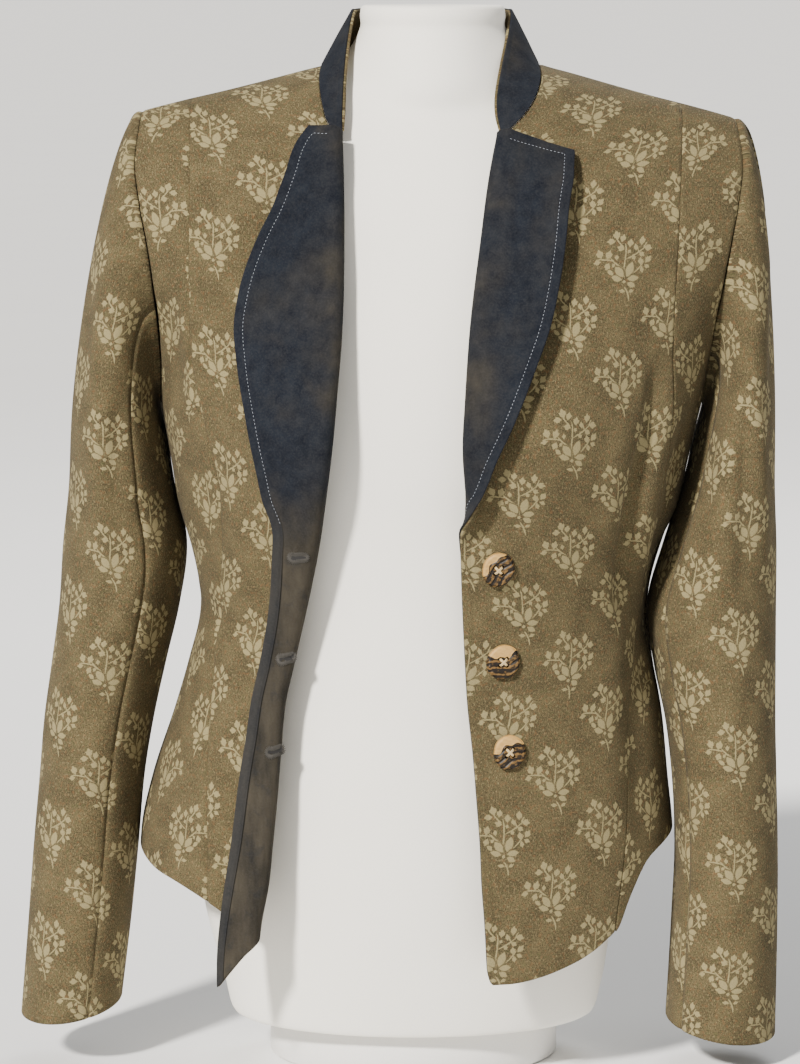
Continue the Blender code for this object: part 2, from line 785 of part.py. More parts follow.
def collar(necks):
    """Stand collar of two layers on the neckline, suede outside and cloth inside."""
    seam = np.concatenate([necks[-1], necks[1][::-1][1:]])
    at = np.linspace(0, 1, len(necks[1]))
    right, left = (np.stack([column(COLLAR_TOP, at, k) for k in (x, 3, 4)], -1) for x in (1, 2))
    top = np.concatenate([right, left[::-1][1:]])
    radial = unit(seam * np.array([1, 1, 0]))
    share = np.linspace(0, 1, COLLAR_ROWS + 1)[:, None, None]
    lift = np.array([0, 0, COLLAR_RISE]) - radial * SEAM
    grid = (seam + lift) * (1 - share) + top * share
    grid = grid + COLLAR_SWELL * 4 * share * (1 - share) * radial
    lean = ((seam - top) * radial).sum(-1) / (top - seam)[:, 2]
    lean = np.clip(lean, 0, COLLAR_MOST_LEAN)
    lean = np.convolve(np.pad(lean, 1, mode="edge"), (0.3, 0.4, 0.3), "valid")
    along = unit(np.gradient(seam, axis=0) * np.array([1, 1, 0]))
    level = np.stack([along[:, 1], -along[:, 0], np.zeros(len(along))], -1)
    level = level * np.sign((level * radial).sum(-1, keepdims=True))
    up = np.array([0, 0, 1.0]) * lean[:, None]
    normals = unit(level + up * (0.3 + 0.7 * share))
    solid_sheet("collar_outer", grid, grid - SUEDE * normals, "navy_suede")
    inner = grid - (SUEDE + SEAM) * normals
    solid_sheet("collar_inner", inner, inner - COLLAR_CLOTH * normals, "loden_cloth")


def ease(share):
    share = np.clip(share, 0, 1)
    return share * share * (3 - 2 * share)


def neck_flare(z):
    return 1 + NECK_FLARE * ease((NECK_FLARE_TOP - z) / NECK_FLARE_TALL)


def form_section(z):
    """One level ring of the dress form."""
    half = column(FORM, z, 1)
    inset = column(FORM, z, 2)
    edge = form_edge(z, half)
    turn = np.linspace(0, 2 * np.pi, FORM_AROUND, endpoint=False)
    middle = body_middle(z)
    x = middle + edge * np.cos(turn)
    back = np.sin(turn) < 0
    across = np.abs(x - middle) / half
    closing = np.maximum(1 - across**FORM_END_POWER, 0) ** (1 / FORM_END_POWER)
    depth = np.sqrt(np.maximum(depth_squared(x, z, back, inset, FORM_SHOULDER_GAP), 0))
    if z < FORM_JACKET_START:
        q = np.abs(np.cos(turn))
        depth_round = np.sqrt(np.maximum(1 - q**2, 0)) ** (2 / SECTION_POWER)
        centre = np.sqrt(np.maximum(depth_squared(middle, z, back, inset, FORM_SHOULDER_GAP), 0))
        blend = np.clip((z - FORM_OVAL_TOP) / (FORM_JACKET_START - FORM_OVAL_TOP), 0, 1)
        depth = depth * closing * blend + np.minimum(centre * depth_round, depth) * (1 - blend)
    else:
        depth = depth * closing
    rise = ease((z - NECK_HOLLOW_FROM) / NECK_HOLLOW_RISE)
    depth = depth * (1 - NECK_HOLLOW * rise * ease((NECK_HOLLOW_X - np.abs(x - middle)) / NECK_HOLLOW_EASE))
    flare = neck_flare(z)
    from_neck = (x - middle - NECK_SHIFT) / NECK_HALF_WIDTH / flare
    neck = np.sqrt(np.maximum(1 - from_neck**2, 0)) * NECK_DEPTH * flare
    depth = np.maximum(depth, np.where(z > NECK_START, neck, 0))
    return np.stack([x, np.where(back, depth, -depth), np.full(len(turn), float(z))], -1)


def form_edge(z, half):
    if z < NECK_START:
        return half
    xs = np.linspace(40, 200, FINE_STEPS)
    heights = shoulder_height(xs + SHOULDER_SEAM_X) - FORM_SHOULDER_GAP
    return min(half, np.interp(-z, -heights, xs))


def dress_form():
    rings = [form_section(z) for z in FORM_LEVELS]
    for x in FORM_SHOULDER_XS:
        rings.append(form_section(float(shoulder_height(x + SHOULDER_SEAM_X) - FORM_SHOULDER_GAP)))
    turn = np.linspace(0, 2 * np.pi, FORM_AROUND, endpoint=False)
    for z in NECK_RINGS + (NECK_TOP,):
        flare = neck_flare(z)
        if z > NECK_RINGS[-2]:
            flare = NECK_ROUND[0] if z < NECK_TOP else NECK_ROUND[1]
        rings.append(np.stack([
            body_middle(z) + NECK_SHIFT + NECK_HALF_WIDTH * flare * np.cos(turn),
            -NECK_DEPTH * flare * np.sin(turn),
            np.full(len(turn), float(z)),
        ], -1))
    rings = np.array(rings)
    count, around = rings.shape[:2]
    points = rings.reshape(-1, 3)
    faces = []
    for r in range(count - 1):
        for c in range(around):
            d = (c + 1) % around
            faces.append((r * around + c, r * around + d, (r + 1) * around + d, (r + 1) * around + c))
    faces.append(tuple(range(around))[::-1])
    faces.append(tuple(range((count - 1) * around, count * around)))
    add_body("dress_form", points, faces, "form_white")


def form_base():
    turn = np.linspace(0, 2 * np.pi, BASE_SIDES, endpoint=False)
    ring = np.stack([
        body_middle(60) + BASE_HALF_WIDTH * np.cos(turn),
        BASE_HALF_DEPTH * np.sin(turn),
        np.zeros(len(turn)),
    ], -1)
    upper = ring + np.array([0, 0, BASE_HEIGHT])
    points = np.concatenate([ring, upper])
    faces = [tuple(range(BASE_SIDES))[::-1], tuple(range(BASE_SIDES, 2 * BASE_SIDES))]
    for c in range(BASE_SIDES):
        d = (c + 1) % BASE_SIDES
        faces.append((c, d, BASE_SIDES + d, BASE_SIDES + c))
    add_body("form_base", points, faces, "form_white")


def button(index, x, z):
    """A slice of antler with four holes, lying on the cloth."""
    place, n = body_point(x, z)
    across = unit(np.cross(np.array([0, 0, 1.0]), n))
    up = np.cross(n, across)
    rim = (
        (BUTTON_RADIUS - BUTTON_EDGE, 0),
        (BUTTON_RADIUS, BUTTON_EDGE),
        (BUTTON_RADIUS, BUTTON_THICK - BUTTON_EDGE * 1.4),
        (BUTTON_RADIUS - BUTTON_EDGE, BUTTON_THICK - BUTTON_EDGE * 0.4),
        (BUTTON_RADIUS * 0.5, BUTTON_THICK),
    )
    turn = np.linspace(0, 2 * np.pi, BUTTON_SIDES, endpoint=False)
    points = []
    for radius, height in rim:
        for a in turn:
            points.append(
                place + (BUTTON_GAP + height) * n + radius * (np.cos(a) * across + np.sin(a) * up)
            )
    faces = [tuple(range(BUTTON_SIDES))[::-1]]
    for r in range(len(rim) - 1):
        for c in range(BUTTON_SIDES):
            d = (c + 1) % BUTTON_SIDES
            a, b = r * BUTTON_SIDES, (r + 1) * BUTTON_SIDES
            faces.append((a + c, a + d, b + d, b + c))
    last = (len(rim) - 1) * BUTTON_SIDES
    faces.append(tuple(range(last, last + BUTTON_SIDES)))
    add_body(f"button_{index}", np.array(points), faces, "antler")
    return place, n, across, up


collar(build_jacket())
dress_form()
form_base()
button_frames = [button(i + 1, x, z) for i, (x, z) in enumerate(BUTTONS)]

LOOKS = {
    "loden_cloth": ((0.19, 0.14, 0.065, 1), 0.95),
    "navy_suede": ((0.017, 0.026, 0.05, 1), 0.9),
    "antler": ((0.5, 0.38, 0.2, 1), 0.45),
    "form_white": ((0.86, 0.85, 0.82, 1), 0.7),
}


def material_for(node, kind):
    material = bpy.data.materials.new(f"{kind}_{node}")
    material.use_nodes = True
    shader = material.node_tree.nodes["Principled BSDF"]
    shader.inputs["Base Color"].default_value = LOOKS[kind][0]
    shader.inputs["Roughness"].default_value = LOOKS[kind][1]
    return material


every = np.concatenate([body[1] for body in bodies])
low, high = every.min(0), every.max(0)
ORIGIN = np.array([(low[0] + high[0]) / 2, (low[1] + high[1]) / 2, low[2]])

for name, points, faces, kind in bodies:
    mesh = bpy.data.meshes.new(name)
    mesh.from_pydata(((points - ORIGIN) * MM).tolist(), [], faces)
    mesh.validate()
    obj = bpy.data.objects.new(name, mesh)
    mesh.materials.append(material_for(name, kind))
    bpy.context.scene.collection.objects.link(obj)
    for polygon in mesh.polygons:
        polygon.use_smooth = kind != "antler" and len(polygon.vertices) < 5

for index, (place, n, across, up) in enumerate(button_frames, start=1):
    target = bpy.data.objects[f"button_{index}"]
    for i, j in ((-1, -1), (-1, 1), (1, -1), (1, 1)):
        centre = place + HOLE_OFFSET * (i * across + j * up)
        ring = []
        for height in (-1.0, BUTTON_THICK + 2):
            for a in np.linspace(0, 2 * np.pi, HOLE_SIDES, endpoint=False):
                ring.append(centre + height * n + HOLE_RADIUS * (np.cos(a) * across + np.sin(a) * up))
        faces = [tuple(range(HOLE_SIDES))[::-1], tuple(range(HOLE_SIDES, 2 * HOLE_SIDES))]
        for c in range(HOLE_SIDES):
            d = (c + 1) % HOLE_SIDES
            faces.append((c, d, HOLE_SIDES + d, HOLE_SIDES + c))
        mesh = bpy.data.meshes.new("hole")
        mesh.from_pydata(((np.array(ring) - ORIGIN) * MM).tolist(), [], faces)
        cutter = bpy.data.objects.new(f"hole_{index}_{i + 1}_{j + 1}", mesh)
        bpy.context.scene.collection.objects.link(cutter)
        cutter.hide_render = True
        cutter.display_type = "WIRE"
        cut = target.modifiers.new("hole", "BOOLEAN")
        cut.object = cutter
        cut.operation = "DIFFERENCE"
        cut.solver = "EXACT"
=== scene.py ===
import bpy
import numpy as np
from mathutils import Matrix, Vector
from mathutils.bvhtree import BVHTree


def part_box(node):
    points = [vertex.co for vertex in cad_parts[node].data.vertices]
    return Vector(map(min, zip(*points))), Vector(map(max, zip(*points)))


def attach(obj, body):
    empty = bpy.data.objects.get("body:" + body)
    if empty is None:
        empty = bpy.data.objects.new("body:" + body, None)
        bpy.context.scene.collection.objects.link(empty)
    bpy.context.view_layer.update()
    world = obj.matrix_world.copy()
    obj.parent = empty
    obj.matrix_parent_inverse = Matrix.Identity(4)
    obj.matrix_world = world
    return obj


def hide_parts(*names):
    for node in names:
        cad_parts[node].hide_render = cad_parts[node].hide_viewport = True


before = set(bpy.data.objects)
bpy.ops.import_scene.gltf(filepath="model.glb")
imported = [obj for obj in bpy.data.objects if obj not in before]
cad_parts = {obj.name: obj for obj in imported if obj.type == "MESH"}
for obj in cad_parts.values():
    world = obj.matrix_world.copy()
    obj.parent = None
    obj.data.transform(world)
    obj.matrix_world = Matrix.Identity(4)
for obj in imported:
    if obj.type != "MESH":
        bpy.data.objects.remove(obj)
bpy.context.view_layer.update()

# A trachten jacket worn open on a limbless dress form. Tables are in millimetres, x to the wearer's
# left, y to the back; toRow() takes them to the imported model's frame, in metres.

wall = {
    "cloth": 2.2,
    "suede": 1.5,
    "gap": 0.3,
    "collarCloth": 1.8,
}

torso = {
    "underarm": 455.0,
    "seamX": 4.5,
    "tilt": 0.012,
    "power": 2.3,
    "bustHeight": 452.0,
    "bustX": 84.0,
    "bustLift": 0.10,
    "bustWide": 52.0,
    "bustTall": 58.0,
    # Body of the jacket by height: height, middle, half width, front depth, back depth.
    "body": np.array([
        (60, -12, 183, 129, 112), (140, -17, 185, 129, 116), (164, -16.5, 184, 128, 116),
        (197, -14.5, 178.5, 127, 114), (245, -9, 168, 125, 106), (279, -7, 160, 125, 100),
        (314, -5, 154, 126, 97), (336, -4, 156, 128, 98), (360, -3, 162, 131, 101),
        (388, -2, 171, 134, 105), (419, -1, 177, 137, 108), (455, 0, 184, 136, 111),
        (489, 2, 189, 130, 113), (517, 3, 198, 123, 113), (543, 4, 211, 115, 111),
        (570, 4.5, 223, 107, 107), (591, 4.5, 232, 100, 103), (611, 4.5, 236, 93, 97),
        (655, 4.5, 232, 84, 84), (720, 4.5, 230, 82, 78),
    ], float),
    # Shoulder line: distance from the middle, height, and how far the shoulder rounds down.
    "shoulder": np.array([
        (0, 712, 72), (50, 697, 72), (60, 690, 72), (75, 684.5, 72), (85, 682, 74), (100, 678, 80),
        (120, 672.5, 86), (145, 666, 92), (172, 659.5, 98), (200, 652, 100), (240, 640, 100),
    ], float),
    # Armhole: height, angle from the side at the front, angle from the side at the back.
    "armhole": np.array([
        (455, 0, 0), (462, 4.5, 4.5), (472, 7.5, 8), (489, 12, 14), (517, 20, 22), (543, 27, 28),
        (570, 31, 32), (591, 33, 34), (625, 32.5, 33.5), (648, 32.2, 32.2), (700, 32.2, 32.2),
    ], float),
    # Shoulder princess seam: height, x on the wearer's right, x on the wearer's left.
    "princess": np.array([
        (80, -150, 122), (111, -151, 123.5), (152, -151.5, 129), (200, -150.5, 133), (252, -150, 134),
        (297, -146, 140), (332, -143, 146), (379, -142, 152), (427, -145, 156), (449, -151, 157.5),
        (481, -157, 159), (540, -161.5, 161), (599, -161, 164), (665, -163, 169),
    ], float),
    "backNeckDrop": 8.0,
    "hemBack": 142.0,
}

fronts = {
    "rollRadius": 3.2,
    # Line where each front starts to turn outwards: height, x on the right, x on the left.
    "fold": np.array([
        (80, -123, 51), (122, -119.7, 49), (148, -114.7, 47), (172, -112.2, 46), (205, -108.8, 43.5),
        (235, -106.2, 41), (273, -102, 37), (290, -98, 36), (309, -93.7, 35), (340, -87, 33.5),
        (384, -79, 31.5), (407, -76, 29), (440, -72, 26.5), (473, -69, 28), (518, -65.5, 31),
        (574, -64.5, 38), (613, -65, 43.5), (642, -66, 49.5),
    ], float),
    # Width of the turned-back front beyond the roll: height, right, left.
    "flap": np.array([
        (80, 13, 0), (110, 18.3, 0), (144, 21.5, 0), (177, 18.5, 0), (210, 16.8, 0), (257, 12.8, 0),
        (317, 13.5, 0), (369, 20, 0), (394, 24, 0), (410, 31, 4), (427, 36, 11), (453, 44, 24),
        (491, 55, 37), (518, 60, 44), (529, 59.5, 45.5), (543, 57.5, 46.5), (574, 47, 47),
        (590, 39, 46.5), (614, 29, 46), (632, 21.5, 43), (645, 12, 41),
    ], float),
    # How far each front is turned, as a part of half a turn: height, right, left.
    "turn": np.array([
        (60, 1, 0), (370, 1, 0), (384, 1, 0.16), (398, 1, 0.55), (412, 1, 0.9), (424, 1, 1),
        (700, 1, 1),
    ], float),
    # Hem: x and height, for the right front and for the left front.
    "hemRight": np.array([
        (-204, 152), (-190, 144), (-173, 139), (-156, 132), (-145, 126), (-130, 117), (-116, 109),
        (-60, 84),
    ], float),
    "hemLeft": np.array([
        (30, 80), (57, 80), (73, 83), (89, 88), (105, 95), (117, 103), (126, 112), (132, 126),
        (139, 140), (145, 150), (156, 158), (168, 163),
    ], float),
    # Neckline of each front, from the lapel up to the shoulder: x and height.
    "neckRight": np.array([
        (-65.5, 643), (-69.5, 648.5), (-72.8, 658.6), (-75.2, 671.2), (-75.6, 679), (-74.6, 684.6),
    ], float),
    "neckLeft": np.array([
        (48.5, 642.5), (55, 648.3), (63.2, 656.7), (69.6, 667.5), (72.5, 678), (72, 685),
    ], float),
    "foldHigh": 565.0,
    "flapLeast": 3.6,
    # How far the turned-back width stands off the front, near the roll and more at its edge.
    "lift": 1.5,
    "edgeLift": 3.5,
    "fullWidth": 40.0,
    # How far the turned-back corners hang below or rise above the fold's end: height, reach up the fold.
    "hemCornerRight": (-36.0, 42.0),
    "topCornerRight": (-2.0, 25.0),
    "rollHang": 0.34,
    "hemCornerLeft": (9.0, 12.0),
    "topCornerLeft": (-18.0, 26.0),
}

collarCut = {
    "rows": 22,
    "rise": 1.6,
    "swell": 0.6,
    "mostLean": 0.6,
    # Top edge of the collar: share of the way from the lapel to the middle of the back,
    # x right, x left, y, height.
    "top": np.array([
        (0, -60.5, 45, -77.5, 645.5), (0.095, -60.8, 43.5, -69, 656), (0.19, -60.5, 44, -58, 668.5),
        (0.285, -59.5, 47.5, -42, 686.5), (0.38, -57.5, 52, -21, 705.5), (0.47, -55, 54.5, 3, 720),
        (0.58, -52.5, 52.5, 25, 722), (0.72, -43, 43, 44, 722), (0.86, -24, 24, 58, 722),
        (1, 0, 0, 63, 722),
    ], float),
}

sleeveCut = {
    "leavesTop": 8.0,
    # Sleeve by height: height, middle x, half width, middle y, half depth.
    "ringsRight": np.array([
        (432, -214, 33, 2, 68), (400, -212.5, 36, 1, 66), (360, -210.5, 42.5, 0, 62),
        (318, -214.5, 41.5, -2, 58), (278, -222, 39.5, -4, 55), (240, -229, 38, -6, 52.5),
        (202, -234, 36.5, -8, 50), (149, -239, 36.5, -11, 48), (100, -243.5, 36, -13, 46.5),
        (38, -250, 35, -16, 44.5),
    ], float),
    "ringsLeft": np.array([
        (432, 207.2, 27.3, -4, 70), (400, 203.4, 31.1, -8, 68), (360, 197.5, 38.5, -12, 64),
        (318, 191.9, 44.1, -16, 60), (278, 194.2, 41.8, -20, 57), (240, 198.2, 37.8, -24, 55),
        (202, 201, 36, -27, 53), (149, 203, 35.5, -29, 51), (100, 202.5, 36.5, -28, 49),
        (26, 201, 38, -24, 46),
    ], float),
    # How much the cuff's plane is tilted: outside lower, front higher.
    "tiltSide": 0.14,
    "tiltFront": 0.078,
    # Inside seam of the sleeve at the front and at the back, in degrees round the sleeve from the outside.
    "seamRight": (116, 116),
    "seamLeft": (144, 112),
}

formCut = {
    # Dress form by height: height, half width, and how far it keeps inside the jacket.
    "levels": np.array([
        (32, 127, 41), (60, 133, 33), (89, 139, 28), (130, 144, 23), (200, 146, 18), (258, 138, 15),
        (300, 131, 14), (340, 134, 14), (388, 147, 14), (455, 159, 13), (517, 166, 10), (560, 172, 9),
        (600, 179, 7), (630, 185, 5.6), (645, 188, 4.6), (660, 190, 3.6), (720, 190, 3.6),
    ], float),
    "shoulderGap": 3.2,
    # Below the first height the form's section is a plain oval, above the second it follows the jacket.
    "ovalTop": 540.0,
    "jacketStart": 620.0,
    "hollow": 0.42,
    "hollowFrom": 628.0,
    "hollowRise": 44.0,
    "hollowX": 74.0,
    "hollowEase": 20.0,
    "endPower": 5.0,
    "neckHalf": 49.0,
    "neckDepth": 53.0,
    "neckShift": -4.0,
    "neckStart": 640.0,
    "flare": 0.26,
    "flareTop": 712.0,
    "flareTall": 50.0,
    "baseHalf": 100.0,
    "baseDepth": 74.0,
}

buttonCut = {
    "places": np.array([(42.5, 361), (46, 298), (50.5, 237)], float),
    "radius": 11.6,
    "edge": 1.2,
    "thick": 4.2,
    "gap": 0.45,
    "holeRadius": 1.1,
    "holeOffset": 2.3,
}


baseLow, baseHigh = (np.array(corner) * 1000 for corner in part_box("form_base"))


def forSide(table, key, side):
    # A table's entry for one of the wearer's sides, -1 for the right and 1 for the left.
    return table[key + ("Right" if side < 0 else "Left")]


def curve(at, xs, ys):
    # A cubic curve through the table's points, held level beyond its ends.
    at = np.clip(np.asarray(at, float), xs[0], xs[-1])
    slope = np.gradient(ys, xs)
    i = np.clip(np.searchsorted(xs, at, side="right") - 1, 0, len(xs) - 2)
    h = xs[i + 1] - xs[i]
    q = (at - xs[i]) / h
    return (
        ys[i] * (1 + 2 * q) * (1 - q) ** 2
        + slope[i] * h * q * (1 - q) ** 2
        + ys[i + 1] * q * q * (3 - 2 * q)
        + slope[i + 1] * h * q * q * (q - 1)
    )


def column(table, at, name):
    return curve(at, table[:, 0], table[:, name])


def bodyMiddle(z):
    return column(torso["body"], z, 1)


def bodyHalf(z):
    return column(torso["body"], z, 2)


def shoulderHeight(x):
    return column(torso["shoulder"], np.abs(x - torso["seamX"]), 1) - torso["tilt"] * x


def depthSquared(x, z, back, inset=0.0, drop=0.0):
    # Square of the cloth's distance from the shoulder plane, negative outside the body.
    across = np.abs(x - bodyMiddle(z)) / bodyHalf(z)
    inside = 1 - across**torso["power"]
    section = np.sign(inside) * np.abs(inside) ** (2 / torso["power"])
    down = column(torso["shoulder"], np.abs(x - torso["seamX"]), 2)
    fall = np.minimum((shoulderHeight(x) - drop - z) / down, 1)
    rounded = 1 - (1 - fall) ** 2
    depth = np.where(back, column(torso["body"], z, 4), column(torso["body"], z, 3))
    side = (np.abs(x) - torso["bustX"]) / torso["bustWide"]
    bust = torso["bustLift"] * np.exp(-side**2 - ((z - torso["bustHeight"]) / torso["bustTall"]) ** 2)
    depth = depth * np.where(back, 1, 1 + bust) - inset
    return depth**2 * section * rounded


def angleOf(x, z):
    # Angle round the body of a point at this x: 0 at the wearer's left side, 180 at the right.
    q = (x - bodyMiddle(z)) / bodyHalf(z)
    q = np.clip(q, -1, 1)
    return np.degrees(np.arccos(np.sign(q) * np.abs(q) ** (torso["power"] / 2)))


def onBody(angle, z, back=False):
    # Points and outward normals of the jacket's outer face.
    turn = np.radians(angle)
    c = np.cos(turn)
    x = bodyMiddle(z) + bodyHalf(z) * np.sign(c) * np.abs(c) ** (2 / torso["power"])
    return bodyPoint(x, z, back)


def bodyPoint(x, z, back=False):
    x, z = np.broadcast_arrays(np.asarray(x, float), np.asarray(z, float))
    y = np.sqrt(np.maximum(depthSquared(x, z, back), 0))
    y = np.where(back, y, -y)
    step = 0.25
    slopeX = (depthSquared(x + step, z, back) - depthSquared(x - step, z, back)) / (2 * step)
    slopeZ = (depthSquared(x, z + step, back) - depthSquared(x, z - step, back)) / (2 * step)
    normal = np.stack([-slopeX, 2 * y, -slopeZ], -1)
    return np.stack([x, y, z], -1), unit(normal)


def runOf(path):
    # Length run through along a path up to each of its points.
    return np.concatenate([[0], np.cumsum(np.linalg.norm(np.diff(path, axis=0), axis=1))])


def bell(away, width):
    # 1 in the middle and fading on both sides.
    return np.exp(-(away / width) ** 2)


def circle(count):
    return np.linspace(0, 2 * np.pi, count, endpoint=False)


def unit(vectors):
    return vectors / np.maximum(np.linalg.norm(vectors, axis=-1, keepdims=True), 1e-12)


def plan(x, z):
    return np.stack([angleOf(x, z), np.asarray(z, float)], -1)


def hemHeight(side, x):
    table = forSide(fronts, "hem", side)
    return curve(x, table[:, 0], table[:, 1])


def outward(edge, inside, normals):
    # Direction along the cloth, square to its edge, away from the piece.
    out = unit(np.cross(normals, np.gradient(edge, axis=0)))
    return out * np.sign((out * (edge - inside)).sum(-1, keepdims=True))


def pullIn(points, normals, ends):
    # Each named edge of a grid moved into the piece, along the cloth, by half the seam's gap.
    moved = points.copy()
    half = wall["gap"] / 2
    edges = {"left": (np.s_[:, 0], np.s_[:, 1]), "right": (np.s_[:, -1], np.s_[:, -2]), "top": (-1, -2)}
    for end in ends:
        edge, inside = edges[end]
        moved[edge] -= half * outward(points[edge], points[inside], normals[edge])
    return moved


def bodyX(place):
    return onBody(place[0], place[1])[0][0]


def shoulderStops(side):
    neck = forSide(fronts, "neck", side)[-1, 0]
    princess = column(torso["princess"], 665, 1 if side < 0 else 2)
    arm = armholeLine(side, False)[-1]
    tip = onBody(arm[0], arm[1])[0][0]
    return neck, princess, tip


def ease(share):
    share = np.clip(share, 0, 1)
    return share * share * (3 - 2 * share)


def neckFlare(z):
    return 1 + formCut["flare"] * ease((formCut["flareTop"] - z) / formCut["flareTall"])


def formEdge(z, half):
    if z < formCut["neckStart"]:
        return half
    xs = np.linspace(40, 200, grid["fine"])
    heights = shoulderHeight(xs + torso["seamX"]) - formCut["shoulderGap"]
    return min(half, np.interp(-z, -heights, xs))


# Sampling

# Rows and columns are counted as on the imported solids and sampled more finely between.
grid = {
    "lowRows": 11,
    "midRows": 4,
    "neckRow": 18,
    "rows": 23,
    "crowding": 1.35,
    "rowStep": 0.125,
    "armStep": 0.25,
    "centreColumns": 44,
    "sideColumns": 26,
    "rollColumns": 10,
    "edgeColumns": 14,
    "flapColumns": 16,
    "capRings": 40,
    "tubeRings": 110,
    "facingFrom": 0.5,
    # Samples of a neckline and of the shoulder, and levels at which a sleeve is measured round.
    "fine": 240,
    "sleeveLevels": 260,
    # Columns of a back half: under the neck, up to the princess line's end, and up to the armhole.
    "backNeck": 6,
    "backMiddle": 12,
    "backColumns": 15,
    "backStep": 0.25,
    "backExtra": (0.03, 0.08, 0.15, 14.6, 14.8, 14.93, 14.98),
}


def crowded(count, pull):
    # Shares from 0 to 1, closer together at both ends.
    share = np.linspace(0, 1, count + 1)
    return share - pull * np.sin(2 * np.pi * share) / (2 * np.pi)


def rowStops():
    hemRows = (0.02, 0.045, 0.08)
    topRows = (22.92, 22.97)
    return np.unique(np.concatenate([np.arange(0, grid["rows"] + 0.01, grid["rowStep"]), hemRows, topRows]))


def lowLevels(rows, low, mid, high):
    share = 1 - (1 - np.clip(rows / grid["lowRows"], 0, 1)) ** grid["crowding"]
    over = np.clip((rows - grid["lowRows"]) / grid["midRows"], 0, 1)
    return low + (mid - low) * share + (high - mid) * over


def levels(rows, low, mid, high, top):
    start = grid["lowRows"] + grid["midRows"]
    turn = np.pi / 2 * np.clip((rows - start) / (grid["rows"] - start), 0, 1)
    return lowLevels(rows, low, mid, high) + (top - high) * np.sin(turn)


def coons(bottom, top, left, right, across, along):
    # A plan filled in between its four edges, each a list of (angle, height).
    u, v = across[None, :, None], along[:, None, None]
    level = (1 - u) * left[:, None] + u * right[:, None]
    upright = (1 - v) * bottom[None] + v * top[None]
    corners = (1 - u) * ((1 - v) * bottom[0] + v * top[0]) + u * ((1 - v) * bottom[-1] + v * top[-1])
    return level + upright - corners


def princessLine(side, rows):
    k = 1 if side < 0 else 2
    topX = column(torso["princess"], 665, k)
    top = shoulderHeight(topX)
    start = top - column(torso["shoulder"], abs(topX - torso["seamX"]), 2)
    lowX = column(torso["princess"], 130, k)
    z = levels(rows, hemHeight(side, lowX), torso["underarm"], start, top)
    return plan(column(torso["princess"], z, k), z)


def armholeLine(side, back, rows=np.arange(24.0)):
    # Side seam up to the underarm, then the edge of the armhole up to the shoulder.
    tipAngle = column(torso["armhole"], 655, 1)
    tip = onBody(tipAngle if side > 0 else 180 - tipAngle, 655)[0][0]
    top = shoulderHeight(tip)
    sideX = bodyMiddle(150) + side * bodyHalf(150)
    z = levels(rows, hemHeight(side, sideX), torso["underarm"], top - 100, top)
    off = np.where(z > torso["underarm"], column(torso["armhole"], z, 2 if back else 1), 0)
    line = np.stack([np.where(side > 0, off, 180 - off), z], -1)
    line[-1] = plan(tip, top)
    return line


def shoulderLine(x0, x1, shares):
    x = x0 + (x1 - x0) * shares
    return plan(x, shoulderHeight(x))


def evenAlong(x, z, shares, back):
    # Stops at these shares of a line's length on the body, as x and height.
    points, _ = bodyPoint(x, z, back)
    run = runOf(points)
    return np.interp(shares * run[-1], run, x), np.interp(shares * run[-1], run, z)


def neckCurve(side, shares):
    # Neckline from the lapel up to the shoulder, as x and height.
    x, z = forSide(fronts, "neck", side).T
    step = np.concatenate([[0], np.cumsum(np.hypot(np.diff(x), np.diff(z)))])
    fine = np.linspace(0, step[-1], grid["fine"])
    x, z = curve(fine, step, x), curve(fine, step, z)
    z = np.minimum(z, shoulderHeight(x))
    z[-1] = shoulderHeight(x[-1])
    return evenAlong(x, z, shares, False)


# Cloth walls

def merged(parts):
    # Points of several parts in one list, and where each part starts.
    return np.concatenate(parts), np.cumsum([0] + [len(part) for part in parts[:-1]]).tolist()


def oval(middle, half, deep, turn, z, y=0.0):
    # A level ring.
    return np.stack([middle + half * np.cos(turn), y + deep * np.sin(turn), np.full(len(turn), float(z))], -1)


def lengthsAcross(points):
    steps = np.linalg.norm(np.diff(points, axis=1), axis=2)
    return np.concatenate([np.zeros((len(points), 1)), np.cumsum(steps, 1)], 1)


def lengthsUp(points):
    return lengthsAcross(points.transpose(1, 0, 2)).T


def clothMap(points, referenceColumn, swap=False):
    # Cloth coordinates in millimetres: across from the reference column, and up along it.
    steps = np.diff(points, axis=1)
    flat = np.hypot(steps[..., 0], steps[..., 1])
    across = np.concatenate([np.zeros((len(points), 1)), np.cumsum(flat, 1)], 1)
    across = across - across[:, referenceColumn:referenceColumn + 1]
    line = points[:, referenceColumn]
    up = runOf(line)
    climb = points[..., 2] - line[:, None, 2]
    lean = np.gradient(line[:, 2]) / np.maximum(np.gradient(up), 1e-6)
    along = up[:, None] + climb / np.clip(lean, 0.35, 1)[:, None]
    return np.stack([across * (-1 if swap else 1), along], -1)


# Where one sprig's middle lies on each piece, as x and height; back pieces give it on the back.
sprigPlaces = {
    "front_centre_left": (87.6, 445.1),
    "front_side_left": (175.1, 563.3),
    "front_centre_right": (-135.0, 419.8),
    "front_side_right": (-180.8, 587.8),
    "sleeve_upper_right": (-217.3, 359.1),
    "sleeve_upper_left": (212.4, 383.0),
    "sleeve_under_left": (158.9, 351.2),
}


def placed(name, points, uv):
    # The cloth shifted so that a sprig's middle falls on this piece's given place.
    if name not in sprigPlaces:
        return uv
    x, z = sprigPlaces[name]
    far = np.hypot(points[..., 0] - x, points[..., 2] - z) + 400 * (points[..., 1] > 0)
    return uv - uv[np.unravel_index(np.argmin(far), far.shape)]


